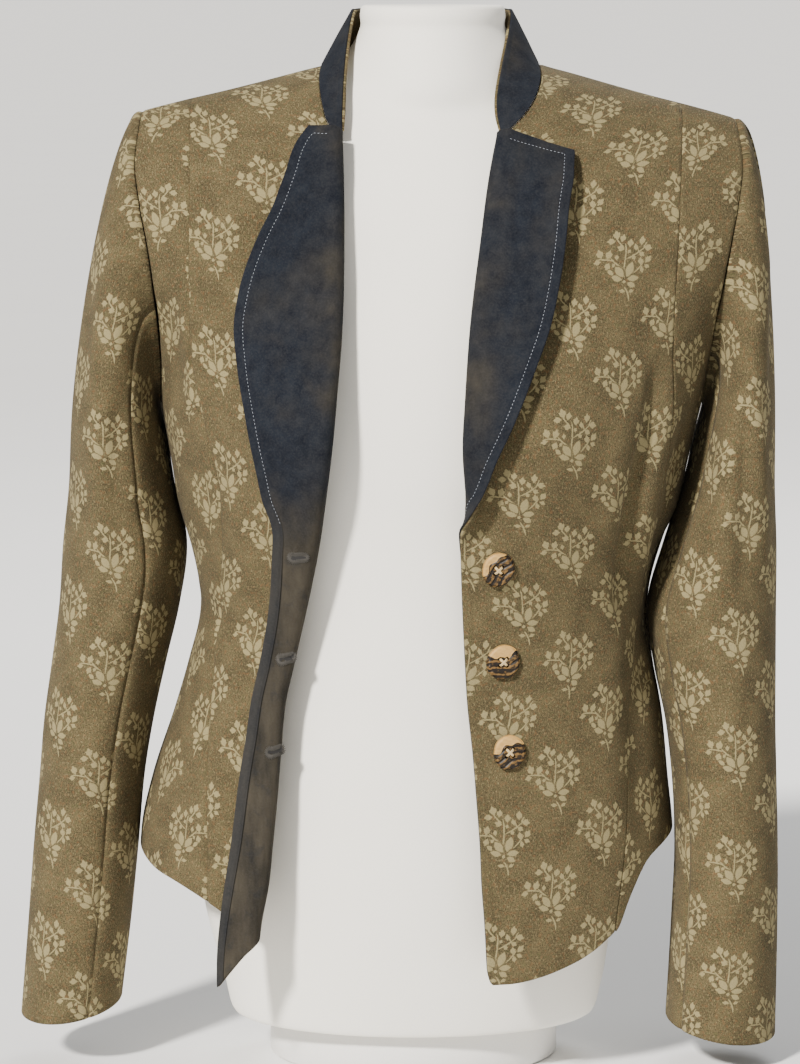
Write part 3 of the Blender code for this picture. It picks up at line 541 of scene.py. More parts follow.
def seamDips(points, ends, depth=0.85, reach=1.7):
    # Both sides of a pressed-open seam sink a little towards the line of stitching.
    run = lengthsAcross(points)
    rise = lengthsUp(points)
    far = {"left": run, "right": run[:, -1:] - run, "top": rise[-1:] - rise}
    dip = sum(bell(far[end], reach) for end in ends)
    return -depth * np.minimum(dip, 1)


def linked(name, data):
    # A new object in the scene.
    obj = bpy.data.objects.new(name, data)
    bpy.context.scene.collection.objects.link(obj)
    return obj


def buildMesh(name, points, faces, uv, attributes=()):
    mesh = bpy.data.meshes.new(name)
    mesh.from_pydata(toRow(points).tolist(), [], faces)
    corner = np.empty(len(mesh.loops), np.int32)
    mesh.loops.foreach_get("vertex_index", corner)
    if uv is not None:
        layer = mesh.uv_layers.new(name="cloth")
        layer.data.foreach_set("uv", (uv[corner] / 1000).astype(np.float32).ravel())
    for label, values in attributes:
        mesh.attributes.new(label, "FLOAT", "POINT").data.foreach_set("value", values.astype(np.float32))
    mesh.polygons.foreach_set("use_smooth", np.ones(len(mesh.polygons), bool))
    mesh.validate()
    return linked(name, mesh)


def toRow(points):
    return (np.asarray(points) - rowOrigin) / 1000


def fromRow(place):
    return np.array(place) * 1000 + rowOrigin


def clothWall(name, outer, inner, uv, cells=None, rim=0.45, attributes=()):
    # A closed wall between two grids, with an edge that is rounded by one middle line.
    rows, columns = outer.shape[:2]
    if cells is None:
        cells = np.ones((rows - 1, columns - 1), bool)
    r, c = np.nonzero(cells)
    number = np.arange(rows * columns).reshape(rows, columns)
    squares = np.stack([number[r, c], number[r, c + 1], number[r + 1, c + 1], number[r + 1, c]], 1)
    used, squares = np.unique(squares, return_inverse=True)
    squares = squares.reshape(-1, 4)
    edges = np.concatenate([squares[:, [k, (k + 1) % 4]] for k in range(4)])
    total = len(used)
    key = edges[:, 0] * total + edges[:, 1]
    back = edges[:, 1] * total + edges[:, 0]
    border = edges[~np.isin(key, back)]
    front = outer.reshape(-1, 3)[used]
    rear = inner.reshape(-1, 3)[used]
    middle = (front + rear) / 2
    a, b, c, d = (front[squares[:, k]] for k in range(4))
    winding = ((front - rear)[squares[:, 0]] * np.cross(c - a, d - b)).sum()
    out = np.zeros((total, 3))
    span = front[border[:, 1]] - front[border[:, 0]]
    away = unit(np.cross(span, front[border[:, 0]] - rear[border[:, 0]]))
    np.add.at(out, border[:, 0], away)
    np.add.at(out, border[:, 1], away)
    out = unit(out)
    line = np.unique(border)
    place = np.full(total, -1)
    place[line] = np.arange(len(line))
    middle = middle[line] + np.sign(winding) * rim * out[line]
    points = np.concatenate([front, rear, middle])
    a, b = border[:, 0], border[:, 1]
    ma, mb = 2 * total + place[a], 2 * total + place[b]
    faces = squares.tolist() + (squares[:, ::-1] + total).tolist()
    faces += np.stack([b, a, ma, mb], 1).tolist() + np.stack([mb, ma, a + total, b + total], 1).tolist()
    flatUv = placed(name, outer, uv).reshape(-1, 2)[used]
    flatUv = np.concatenate([flatUv, flatUv, flatUv[line]])
    spread = []
    for label, values in attributes:
        flat = values.reshape(-1)[used]
        spread.append((label, np.concatenate([flat, flat, flat[line]])))
    if winding < 0:
        faces = [face[::-1] for face in faces]
    return buildMesh(name, points, faces, flatUv, spread)


# Creases of the worn cloth: where each runs on the body (x, height), how wide it is on each side,
# and how far it stands up, or below zero how far it sinks in. They fade out at both ends.
creases = {
    "front": (
        (((148, 492), (143, 448), (134, 416), (130, 395), (126, 352), (127, 320)), (8, 4.5), -7.0),
        (((128, 470), (121, 430), (117, 400), (114, 372)), (10, 7), 2.3),
        (((160, 490), (153, 446), (145, 408), (139, 350)), (7, 9), 4.0),
        (((178, 465), (169, 431), (162, 399), (156, 371), (150, 330)), (6, 8), -4.7),
        (((150, 345), (142, 300), (138, 250), (141, 190), (146, 160)), (9, 12), -3.5),
        (((128, 330), (122, 285), (119, 240), (121, 180)), (14, 12), 2.0),
        (((60, 350), (84, 322), (112, 306)), (12, 12), -1.3),
        (((58, 300), (82, 285), (108, 276)), (11, 9), 1.3),
        (((150, 560), (142, 520), (138, 488)), (9, 12), -1.6),
        (((-178, 540), (-172, 500), (-170, 462)), (7, 9), -2.9),
        (((-166, 530), (-160, 490), (-159, 455)), (9, 7), 2.0),
        (((-150, 420), (-146, 385), (-150, 350)), (10, 9), -2.2),
        (((-132, 410), (-124, 370), (-122, 330)), (10, 12), 1.7),
        (((-156, 330), (-146, 318), (-128, 312), (-108, 316)), (8, 8), -1.9),
        (((-158, 300), (-146, 294), (-130, 292)), (9, 8), 1.3),
        (((-160, 250), (-154, 210), (-157, 170)), (12, 10), 1.7),
        (((-120, 300), (-128, 240), (-131, 180), (-130, 130)), (10, 12), -1.4),
        (((-120, 600), (-112, 560), (-110, 520)), (12, 12), -1.2),
    ),
    "back": (
        (((150, 560), (118, 545), (86, 548)), (8, 12), -2.0),
        (((-146, 555), (-116, 541), (-82, 546)), (8, 11), -1.9),
        (((160, 500), (146, 470), (140, 430)), (9, 8), -3.5),
        (((146, 500), (132, 465), (127, 425)), (10, 8), 2.2),
        (((-158, 500), (-145, 466), (-140, 430)), (9, 8), -3.2),
        (((-143, 500), (-130, 462), (-125, 430)), (10, 9), 2.2),
        (((120, 330), (70, 322), (16, 328)), (8, 10), -2.2),
        (((-118, 336), (-66, 326), (-14, 330)), (9, 9), -1.9),
        (((100, 300), (54, 294), (12, 298)), (9, 9), 1.6),
        (((-96, 306), (-52, 300), (-14, 302)), (8, 10), 1.4),
        (((96, 270), (104, 215), (110, 160)), (12, 14), 2.3),
        (((-100, 275), (-108, 220), (-112, 165)), (14, 12), 2.2),
        (((40, 260), (44, 205), (46, 150)), (12, 12), -1.4),
        (((-46, 262), (-48, 210), (-52, 155)), (12, 12), -1.4),
    ),
    # On a sleeve: degrees round from the outside (front is 90), and height.
    "sleeveLeft": (
        (((95, 470), (88, 430), (78, 395), (72, 360), (66, 325)), (9, 14), -3.9),
        (((72, 462), (62, 420), (54, 385), (50, 350)), (14, 10), 2.6),
        (((116, 455), (110, 415), (104, 380), (102, 340)), (8, 12), 2.9),
        (((30, 548), (38, 500), (42, 460)), (9, 10), -2.2),
        (((120, 330), (96, 306), (66, 300)), (9, 12), -2.3),
        (((118, 296), (90, 274), (64, 270)), (10, 12), 1.9),
        (((112, 262), (86, 238), (60, 236)), (9, 11), -1.6),
        (((80, 200), (74, 150), (76, 100)), (14, 14), -1.4),
        (((250, 330), (276, 306), (304, 300)), (9, 10), -2.6),
        (((246, 290), (274, 272), (300, 268)), (9, 10), 2.0),
        (((252, 258), (276, 242), (298, 240)), (8, 10), -2.0),
        (((262, 440), (272, 400), (280, 360)), (9, 12), -2.9),
    ),
    "sleeveRight": (
        (((100, 470), (96, 430), (88, 395), (86, 350)), (10, 12), -3.8),
        (((76, 470), (70, 425), (66, 385)), (12, 12), 2.3),
        (((112, 400), (98, 350), (84, 318), (66, 296)), (10, 13), -2.9),
        (((110, 352), (92, 312), (74, 290)), (11, 10), 2.0),
        (((60, 420), (54, 380), (52, 330)), (13, 12), -1.6),
        (((106, 268), (84, 246), (62, 240)), (10, 11), -1.7),
        (((36, 560), (40, 510), (46, 460)), (10, 10), -1.9),
        (((70, 210), (64, 150), (66, 95)), (14, 14), -1.4),
        (((248, 336), (276, 312), (306, 306)), (9, 10), -2.6),
        (((252, 296), (276, 280), (300, 276)), (10, 10), 1.9),
        (((246, 262), (270, 246), (296, 244)), (9, 10), -1.9),
        (((262, 450), (270, 405), (278, 365)), (9, 12), -2.6),
    ),
}


def creased(flatX, flatZ, folds):
    # Height of these creases at these flat places.
    total = np.zeros(flatX.shape)
    for path, widths, rise in folds:
        path = np.array(path, float)
        run = runOf(path)
        nearest = np.full(flatX.shape, 1e9)
        offset = np.zeros(flatX.shape)
        share = np.zeros(flatX.shape)
        for k in range(len(path) - 1):
            ahead = path[k + 1] - path[k]
            size = np.linalg.norm(ahead)
            dx, dz = flatX - path[k, 0], flatZ - path[k, 1]
            along = (dx * ahead[0] + dz * ahead[1]) / size
            held = np.clip(along, 0, size)
            away = np.hypot(dx - held * ahead[0] / size, dz - held * ahead[1] / size)
            side = dx * ahead[1] - dz * ahead[0]
            closer = away < nearest
            nearest = np.where(closer, away, nearest)
            offset = np.where(closer, np.sign(side) * away, offset)
            share = np.where(closer, (run[k] + along) / run[-1], share)
        width = np.where(offset > 0, widths[1], widths[0])
        fade = ease((share + 0.1) / 0.35) * ease((1.1 - share) / 0.35)
        total = total + rise * fade * bell(offset, width)
    return total


# Fronts

frontLook = {
    "flapWave": 0.7,
    "edgeGroove": 0.45,
    "edgeGrooveFrom": 6.2,
    "edgeGrooveWidth": 0.9,
    "calm": 26.0,
    # Above this height the facing is topstitched, below it only pressed: height, and how deep each sinks.
    "stitchedFrom": 392.0,
    "stitchedEase": 14.0,
    "stitchedDip": 0.28,
    "pressedDip": 0.75,
}


def frontCentre(side):
    # Centre front from the princess seam to the fold and neckline, then its turned-back part.
    k = 1 if side < 0 else 2
    rows = rowStops()
    foldRows = rows[rows <= grid["neckRow"]]
    neckRows = rows[rows >= grid["neckRow"]]
    across = crowded(grid["centreColumns"], 0.7)
    neckX, neckZ = neckCurve(side, (neckRows - grid["neckRow"]) / (grid["rows"] - grid["neckRow"]))
    _, princessX, _ = shoulderStops(side)
    princess = princessLine(side, rows)
    start = grid["lowRows"] + grid["midRows"]
    foldHigh = fronts["foldHigh"]
    foldZ = lowLevels(foldRows, hemHeight(side, column(fronts["fold"], 100, k)), torso["underarm"], foldHigh)
    foldZ = foldZ + (neckZ[0] - foldHigh) * np.clip((foldRows - start) / (grid["neckRow"] - start), 0, 1)
    foldX = column(fronts["fold"], foldZ, k)
    nearTop = np.clip((foldZ - 600) / (neckZ[0] - 600), 0, 1) ** 2
    foldX = foldX + (neckX[0] - foldX[-1]) * nearTop
    edge = plan(np.concatenate([foldX, neckX[1:]]), np.concatenate([foldZ, neckZ[1:]]))
    top = shoulderLine(princessX, neckX[-1], across)
    lowX = bodyX(princess[0]) + (foldX[0] - bodyX(princess[0])) * across
    bottom = plan(lowX, hemHeight(side, lowX))
    bottom[0], bottom[-1] = princess[0], edge[0]
    top[0], top[-1] = princess[-1], edge[-1]
    flat = coons(bottom, top, princess, edge, across, rows / grid["rows"])
    points, normals = onBody(flat[..., 0], flat[..., 1])
    toFold = lengthsAcross(points)
    toFold = toFold[:, -1:] - toFold
    calm = ease(toFold / frontLook["calm"])
    calm[len(foldZ):] = 1
    points = points + (creased(points[..., 0], points[..., 2], creases["front"]) * calm)[..., None] * normals
    turned, turnedNormals = turnBack(side, points[:len(foldZ)], normals[:len(foldZ)], foldZ)
    return points, normals, turned, turnedNormals


def edgeShares(flap):
    # Shares of the turned width, with close columns in the last millimetres before the outer edge.
    zone = np.minimum(9.0, 0.55 * flap)[:, None]
    inner = np.linspace(0, 1, grid["flapColumns"] + 1)[1:][None]
    outer = np.linspace(0, 1, grid["edgeColumns"] + 1)[1:][None]
    return np.concatenate([inner * (1 - zone / flap[:, None]), 1 - zone / flap[:, None] * (1 - outer)], 1)


def turnBack(side, points, normals, foldZ):
    # The roll and the turned-back width beyond the fold line of a front.
    k = 1 if side < 0 else 2
    start, n = points[:, -1], normals[:, -1]
    ahead = np.cross(n, np.array([0, 0, 1.0])) * side
    ahead = unit(ahead - (ahead * n).sum(-1, keepdims=True) * n)
    turn = np.pi * np.clip(column(fronts["turn"], foldZ, k), 0.004, 1)
    radius = np.pi * fronts["rollRadius"] / turn
    flap = np.maximum(column(fronts["flap"], foldZ, k), fronts["flapLeast"])
    outPoints, outNormals = [], []
    above, underTop = foldZ - foldZ[0], foldZ[-1] - foldZ
    low, high = forSide(fronts, "hemCorner", side), forSide(fronts, "topCorner", side)
    hang = low[0] * np.exp(-(above / low[1]) ** (1.3 if side < 0 else 1))
    rollHang = fronts["rollHang"] if side < 0 else 0
    for c in range(1, grid["rollColumns"] + 1):
        a = (turn * c / grid["rollColumns"])[:, None]
        outPoints.append(start + radius[:, None] * (np.sin(a) * ahead + (1 - np.cos(a)) * n))
        outPoints[-1][:, 2] += hang * rollHang * (c / grid["rollColumns"]) ** 1.5
        outNormals.append(np.cos(a) * n - np.sin(a) * ahead)
    end = outPoints[-1]
    way = np.cos(turn)[:, None] * ahead + np.sin(turn)[:, None] * n
    lastNormal = outNormals[-1]
    share = ((1 - np.cos(turn)) / 2)[:, None]
    wide = np.clip(flap / fronts["fullWidth"], 0, 1)[:, None]
    for part in edgeShares(flap).T:
        part = part[:, None]
        d = flap[:, None] * part
        x = start[:, 0] - (d * ahead)[:, 0]
        below, belowNormal = bodyPoint(x, foldZ)
        bend = share * (below - start + d * ahead)
        bend[:, 2] = 0
        lift = share * (fronts["lift"] + fronts["edgeLift"] * part * wide) * part * belowNormal
        wave = frontLook["flapWave"] * share * wide * part * np.sin(foldZ / 31 + side)[:, None] * belowNormal
        place = end + d * way + bend + lift + wave
        part = part[:, 0]
        place[:, 2] += hang * (1 - rollHang) * part ** (1.1 if side < 0 else 2)
        place[:, 2] += high[0] * part * np.exp(-underTop / high[1])
        outPoints.append(place)
        outNormals.append(unit(lastNormal + share * (n - belowNormal)))
    return np.stack(outPoints, 1), np.stack(outNormals, 1)


def frontSolids(side, name):
    # Centre front with its facing; gives back the neckline.
    points, normals, turned, turnedNormals = frontCentre(side)
    foldRows = len(turned)
    count = points.shape[1]
    dips = seamDips(points, ("left", "top"))
    moved = pullIn(points + dips[..., None] * normals, normals, ("left", "top"))
    neck = points[foldRows - 1:, -1]
    away = outward(neck, points[foldRows - 1:, -2], normals[foldRows - 1:, -1])
    moved[foldRows - 1:, -1] -= wall["gap"] / 2 * away
    blank = np.zeros((len(points) - foldRows,) + turned.shape[1:])

    def joined(main, beyond):
        return np.concatenate([main, np.concatenate([beyond, blank + main[foldRows:, -1:]])], 1)

    whole, wholeNormals = joined(moved, turned), joined(normals, turnedNormals)
    cells = np.ones((len(whole) - 1, whole.shape[1] - 1), bool)
    cells[foldRows - 1:, count - 1:] = False
    uv = clothMap(joined(points, turned), count // 2, swap=side > 0)
    run = lengthsAcross(whole)
    edgeAt = np.where(np.arange(len(whole)) < foldRows, run[:, -1], run[:, count - 1])
    fromEdge = np.abs(edgeAt[:, None] - run)
    topRun = lengthsUp(whole[:foldRows])
    fromTop = np.full(fromEdge.shape, 99.0)
    fromTop[:foldRows] = topRun[-1:] - topRun

    def groove(away):
        return bell(away - frontLook["edgeGrooveFrom"], frontLook["edgeGrooveWidth"])

    if side > 0:
        low = ease((frontLook["stitchedFrom"] - whole[..., 2]) / frontLook["stitchedEase"])
        whole = whole - (frontLook["edgeGroove"] * groove(fromEdge) * low)[..., None] * wholeNormals
    looks[f"front_centre_{name}"] = clothWall(
        f"front_centre_{name}", whole, whole - wall["cloth"] * wholeNormals, uv, cells)
    first = np.searchsorted(crowded(grid["centreColumns"], 0.7), grid["facingFrom"])
    part = np.s_[:foldRows, first:]
    suede = whole[part] - (wall["cloth"] + wall["gap"]) * wholeNormals[part]
    shown = suede - wall["suede"] * wholeNormals[part]
    near, top = fromEdge[part], fromTop[part]
    pressed = (whole[part][..., 2] < frontLook["stitchedFrom"]) & (side < 0)
    deep = np.where(pressed, frontLook["pressedDip"], frontLook["stitchedDip"])
    dent = deep * np.maximum(groove(near) * (top > 5), groove(top) * (near > 5) * (top < 20))
    shown = shown + dent[..., None] * wholeNormals[part]
    looks[f"facing_{name}"] = clothWall(
        f"facing_{name}", shown, suede, uv[part], rim=0.5, attributes=(
            ("rim", near), ("height", whole[part][..., 2]),
            ("fromRoll", np.abs(run - run[:, count - 1:count])[part])))
    facings[side] = {"shown": shown, "normals": -wholeNormals[part], "near": near, "top": top}
    return neck


def frontSide(side):
    rows = rowStops()
    across = crowded(grid["sideColumns"], 0.8)
    princess = princessLine(side, rows)
    arm = armholeLine(side, False, rows)
    _, princessX, tipX = shoulderStops(side)
    top = shoulderLine(princessX, tipX, across)
    top[0], top[-1] = princess[-1], arm[-1]
    angle = princess[0, 0] + (arm[0, 0] - princess[0, 0]) * across
    x = onBody(angle, np.full(len(angle), 145.0))[0][:, 0]
    bottom = np.stack([angle, hemHeight(side, x)], -1)
    bottom[0], bottom[-1] = princess[0], arm[0]
    flat = coons(bottom, top, princess, arm, across, rows / grid["rows"])
    return onBody(flat[..., 0], flat[..., 1])


# Back

def backNeck(side, shares):
    neckX, _, _ = shoulderStops(side)
    share = np.sin(np.linspace(0, np.pi / 2, grid["fine"]))
    x = torso["seamX"] + (neckX - torso["seamX"]) * share
    z = shoulderHeight(neckX) - torso["backNeckDrop"] * (1 - share**2.6)
    return evenAlong(x, z, shares, True)


def backStops():
    even = np.arange(0, grid["backColumns"] + 0.01, grid["backStep"])
    return np.unique(np.concatenate([even, grid["backExtra"]]))


def backHalf(side):
    rows = rowStops()
    arm = armholeLine(side, True, rows)
    neckX, princessX, tipX = shoulderStops(side)
    stops = backStops()
    neck, mid, last = grid["backNeck"], grid["backMiddle"], grid["backColumns"]
    neckShares = stops[stops <= neck] / neck
    midShares = (stops[(stops > neck) & (stops <= mid)] - neck) / (mid - neck)
    outShares = (stops[stops > mid] - mid) / (last - mid)
    x, z = backNeck(side, neckShares)
    top = np.concatenate([
        plan(x, z), shoulderLine(neckX, princessX, midShares), shoulderLine(princessX, tipX, outShares)])
    top[-1] = arm[-1]
    middleZ = levels(rows, torso["hemBack"], torso["underarm"], 600, z[0])
    lowShare = np.clip((z[0] - middleZ) / 200, 0, 1)
    middle = plan(torso["seamX"] + (bodyMiddle(middleZ) - torso["seamX"]) * lowShare, middleZ)
    top[0] = middle[-1]
    share = stops / last
    angle = middle[0, 0] + (arm[0, 0] - middle[0, 0]) * share
    bottom = np.stack([angle, torso["hemBack"] + (arm[0, 1] - torso["hemBack"]) * share**2], -1)
    flat = coons(bottom, top, middle, arm, share, rows / grid["rows"])
    points, normals = onBody(flat[..., 0], flat[..., 1], back=True)
    return points, normals, np.count_nonzero(stops <= neck)


# Sleeves

sleeveLook = {
    "meanRadius": 45.0,
    "calm": 30.0,
    # Fullness of the cap: height, distance from the seam, and where it starts on the armhole and how fast.
    "capSwell": 0.8,
    "capWidth": 5.0,
    "capFrom": 560.0,
    "capOver": 60.0,
    "armholeDip": 0.9,
    "armholeWidth": 1.6,
    # The right sleeve's front seam lies flatter above this height, over this length, by this share.
    "flatFrom": 450.0,
    "flatOver": 90.0,
    "flatShare": 0.35,
    "crowding": 1.15,
}


def smoothRound(values, times):
    for _ in range(times):
        values = (np.roll(values, 1, 0) + 2 * values + np.roll(values, -1, 0)) / 4
    return values


def sleeveRings(side, loop, loopNormals, hole):
    # Rings of points down a sleeve from the armhole's loop, and their normals.
    table = forSide(sleeveCut, "rings", side)[::-1]
    capZ, cuffZ = table[-1, 0], table[0, 0]
    sizes = np.linalg.norm(np.roll(loop, -1, 0) - loop, axis=1)
    around = 2 * np.pi * np.concatenate([[0], np.cumsum(sizes)[:-1]]) / sizes.sum()
    crowding = sleeveLook["crowding"]
    heights = capZ + (cuffZ - capZ) * (1 - (1 - np.linspace(0, 1, grid["tubeRings"] + 1)) ** crowding)
    tube = []
    for z in heights:
        middle, half, y, deep = (curve(z, table[:, 0], table[:, k]) for k in range(1, 5))
        ring = oval(middle, side * half, -deep, around, z, y)
        lean = np.clip((capZ - z) / (capZ - cuffZ), 0, 1) ** 3
        ring[:, 2] -= lean * sleeveCut["tiltSide"] * side * (ring[:, 0] - middle)
        ring[:, 2] -= lean * sleeveCut["tiltFront"] * (y - ring[:, 1])
        tube.append(ring)
    first = tube[0]
    wayDown = unit(tube[1] - tube[0])
    climb = np.clip((loop[:, 2:] - torso["underarm"]) / (loop[:, 2].max() - torso["underarm"]), 0, 1)
    leaveAngle = np.radians(sleeveCut["leavesTop"] + (90 - sleeveCut["leavesTop"]) * (1 - climb) ** 0.8)
    out = unit(smoothRound(np.cos(leaveAngle) * hole + np.sin(leaveAngle) * loopNormals, 4))
    seamNormals = unit(smoothRound(np.cos(leaveAngle) * loopNormals - np.sin(leaveAngle) * hole, 4))
    reach = np.linalg.norm(first - loop, axis=1, keepdims=True)
    leave = out * np.clip(reach * 0.55, 12, 60)
    arrive = wayDown * reach
    rings = []
    for q in np.linspace(0, 1, grid["capRings"] + 1)[:-1] ** crowding:
        rings.append(
            loop * (1 + 2 * q) * (1 - q) ** 2
            + leave * q * (1 - q) ** 2
            + first * q * q * (3 - 2 * q)
            + arrive * q * q * (q - 1)
        )
    rings[0] = loop + hole * wall["gap"] / 2
    rings = np.array(rings + tube)
    down = np.gradient(rings, axis=0)
    along = np.roll(rings, -1, 1) - np.roll(rings, 1, 1)
    normals = unit(np.cross(along, down))
    middle = rings.mean(1, keepdims=True)
    normals = normals * np.sign(((rings - middle) * normals).sum(-1).mean())
    normals[0] = seamNormals
    return rings, normals, around


def sleeve(side, name):
    rows = np.arange(grid["lowRows"], grid["rows"] + 0.01, grid["armStep"])
    edges = {}
    for back in (False, True):
        line = armholeLine(side, back, np.concatenate([[grid["lowRows"] - 0.1], rows]))
        edge, edgeNormals = onBody(line[:, 0], line[:, 1], back)
        inside = onBody(line[:, 0] + (-1 if side < 0 else 1) * 1.2, line[:, 1], back)[0]
        edges[back] = [part[1:] for part in (edge, edgeNormals, outward(edge, inside, edgeNormals))]
    front, frontNormals, frontHole = edges[False]
    rear, rearNormals, rearHole = edges[True]
    loop = np.concatenate([front[::-1], rear[1:-1]])
    loopNormals = np.concatenate([frontNormals[::-1], rearNormals[1:-1]])
    hole = np.concatenate([frontHole[::-1], rearHole[1:-1]])
    lowest = len(front) - 1
    hole[lowest] = (0, 0, 1)
    hole[0] = unit(frontHole[-1] + rearHole[-1])
    loopNormals[lowest] = (side, 0, 0)
    rings, normals, around = sleeveRings(side, loop, loopNormals, unit(smoothRound(hole, 3)))
    degrees = np.broadcast_to(np.degrees(around), rings.shape[:2])
    size = np.radians(1) * sleeveLook["meanRadius"]
    folds = creasedSleeve(degrees, rings[..., 2], forSide(creases, "sleeve", side), size)
    fromLoop = lengthsUp(rings)
    folds = folds * ease(fromLoop / sleeveLook["calm"])
    wide = sleeveLook["capWidth"]
    full = ease((loop[:, 2] - sleeveLook["capFrom"]) / sleeveLook["capOver"])[None]
    cap = bell(fromLoop - wide, wide) * sleeveLook["capSwell"] * full
    dip = -sleeveLook["armholeDip"] * bell(fromLoop, sleeveLook["armholeWidth"])
    plain = rings
    rings = rings + (folds + cap + dip)[..., None] * normals
    turns = np.concatenate([np.degrees(around), [360]])
    frontTurn, backTurn = forSide(sleeveCut, "seam", side)
    frontAt = int(np.argmin(np.abs(turns - frontTurn)))
    backAt = int(np.argmin(np.abs(turns - 360 + backTurn)))
    count = len(around)
    upper = list(range(backAt, count)) + list(range(0, frontAt + 1))
    under = list(range(frontAt, backAt + 1))
    for piece, columns in (("upper", upper), ("under", under)):
        part, wallNormals = rings[:, columns], normals[:, columns]
        low = ease((sleeveLook["flatFrom"] - part[..., 2]) / sleeveLook["flatOver"]) if side < 0 else 1
        least = sleeveLook["flatShare"]
        dips = seamDips(part, ("left", "right"), 0.8, 1.6) * (least + (1 - least) * low)
        part = part + dips[..., None] * wallNormals
        part = pullIn(part, wallNormals, ("left", "right"))
        uv = sleeveMap(plain, columns, side)
        label = f"sleeve_{piece}_{name}"
        looks[label] = clothWall(label, part, part - wall["cloth"] * wallNormals, uv)


def sleeveMap(rings, columns, side):
    # Cloth coordinates of a sleeve: across is the way round at one height, up is the way up its outside.
    count = rings.shape[1]
    high = np.linspace(rings[..., 2].min(), rings[..., 2].max(), grid["sleeveLevels"])
    level = np.zeros((count, len(high), 2))
    there = np.zeros((count, len(high)), bool)
    for c in range(count):
        x, y, z = rings[::-1, c].T
        level[c] = np.stack([np.interp(high, z, x), np.interp(high, z, y)], 1)
        there[c] = high < z[-1]
    step = np.linalg.norm(np.roll(level, -1, 0) - level, axis=2) * (there & np.roll(there, -1, 0))
    ahead = np.concatenate([np.zeros((1, len(high))), np.cumsum(step, 0)[:-1]])
    behind = np.cumsum(step[::-1], 0)[::-1]
    outside = rings[::-1, 0]
    rise = np.linalg.norm(np.diff(outside, axis=0), axis=1)
    rise = np.minimum(rise, 2.2 * np.abs(np.diff(outside[:, 2])))
    climb = np.concatenate([[0], np.cumsum(rise)])
    lowest = int(np.argmin(rings[0, :, 2]))
    whole = np.interp(torso["underarm"], high, step.sum(0))
    uv = np.zeros((len(rings), len(columns), 2))
    for k, c in enumerate(columns):
        z = rings[:, c, 2]
        if columns[0] > columns[-1] and c >= columns[0]:
            uv[:, k, 0] = -np.interp(z, high, behind[c])
        elif c > lowest:
            total = np.interp(np.minimum(z, torso["underarm"]), high, step.sum(0))
            uv[:, k, 0] = np.where(z > torso["underarm"], whole, total) - np.interp(z, high, behind[c])
        else:
            uv[:, k, 0] = np.interp(z, high, ahead[c])
        uv[:, k, 1] = np.interp(z, outside[:, 2], climb)
    uv[..., 0] *= -side
    return uv


def creasedSleeve(degrees, z, group, perDegree):
    # Creases of a sleeve, with its degrees turned into millimetres so that widths hold both ways.
    scaled = [([(turn * perDegree, height) for turn, height in path], *rest) for path, *rest in group]
    return creased(degrees * perDegree, z, scaled)


# Collar

def collarStops():
    # Share of the way from the lapel to the middle of the back of each point of the neckline.
    rows, columns = rowStops(), backStops()
    front, rear = grid["rows"] - grid["neckRow"], grid["backNeck"]
    rows = rows[rows >= grid["neckRow"]] - grid["neckRow"]
    columns = columns[columns <= rear][::-1]
    return np.concatenate([rows / (front + rear), (front + (rear - columns[1:])) / (front + rear)])


def collar(necks):
    # Stand collar of two layers on the neckline, suede outside and cloth inside.
    seam = np.concatenate([necks[-1], necks[1][::-1][1:]])
    at = collarStops()
    right, left = (np.stack([column(collarCut["top"], at, k) for k in (x, 3, 4)], -1) for x in (1, 2))
    top = np.concatenate([right, left[::-1][1:]])
    radial = unit(seam * np.array([1, 1, 0]))
    share = crowded(collarCut["rows"], 0.6)[:, None, None]
    lift = np.array([0, 0, collarCut["rise"]]) - radial * wall["gap"]
    flat = (seam + lift) * (1 - share) + top * share
    flat = flat + collarCut["swell"] * 4 * share * (1 - share) * radial
    lean = ((seam - top) * radial).sum(-1) / (top - seam)[:, 2]
    lean = np.clip(lean, 0, collarCut["mostLean"])
    for _ in range(30):
        lean = np.convolve(np.pad(lean, 1, mode="edge"), (0.25, 0.5, 0.25), "valid")
    along = unit(np.gradient(seam, axis=0) * np.array([1, 1, 0]))
    for _ in range(10):
        along = unit(np.concatenate([along[:1], (along[:-2] + 2 * along[1:-1] + along[2:]) / 4, along[-1:]]))
    level = np.stack([along[:, 1], -along[:, 0], np.zeros(len(along))], -1)
    level = level * np.sign((level * radial).sum(-1, keepdims=True))
    up = np.array([0, 0, 1.0]) * lean[:, None]
    normals = unit(level + up * (0.3 + 0.7 * share))
    run, rise = lengthsAcross(flat), lengthsUp(flat)
    uv = np.stack([run, rise], -1)
    near = np.minimum(rise[-1:] - rise, np.minimum(run, run[:, -1:] - run))
    looks["collar_outer"] = clothWall(
        "collar_outer", flat, flat - wall["suede"] * normals, uv, rim=0.5,
        attributes=(("rim", near + 4), ("height", flat[..., 2]), ("fromRoll", near + 12)))
    inner = flat - (wall["suede"] + wall["gap"]) * normals
    looks["collar_inner"] = clothWall(
        "collar_inner", inner, inner - wall["collarCloth"] * normals, uv, rim=0.5)


def panel(name, group, points, normals, column, swap):
    # A creased panel, sewn in at both sides and at the shoulder.
    ends = ("left", "right", "top")
    points = points + creased(points[..., 0], points[..., 2], creases[group])[..., None] * normals
    moved = pullIn(points + seamDips(points, ends)[..., None] * normals, normals, ends)
    looks[name] = clothWall(name, moved, moved - wall["cloth"] * normals, clothMap(points, column, swap=swap))


looks = {}
facings = {}
rowOrigin = np.zeros(3)
baseMiddle = (baseLow + baseHigh) / 2
rowOrigin[:2] = (bodyMiddle(60) - baseMiddle[0], -baseMiddle[1])
rowOrigin[2] = -baseLow[2]

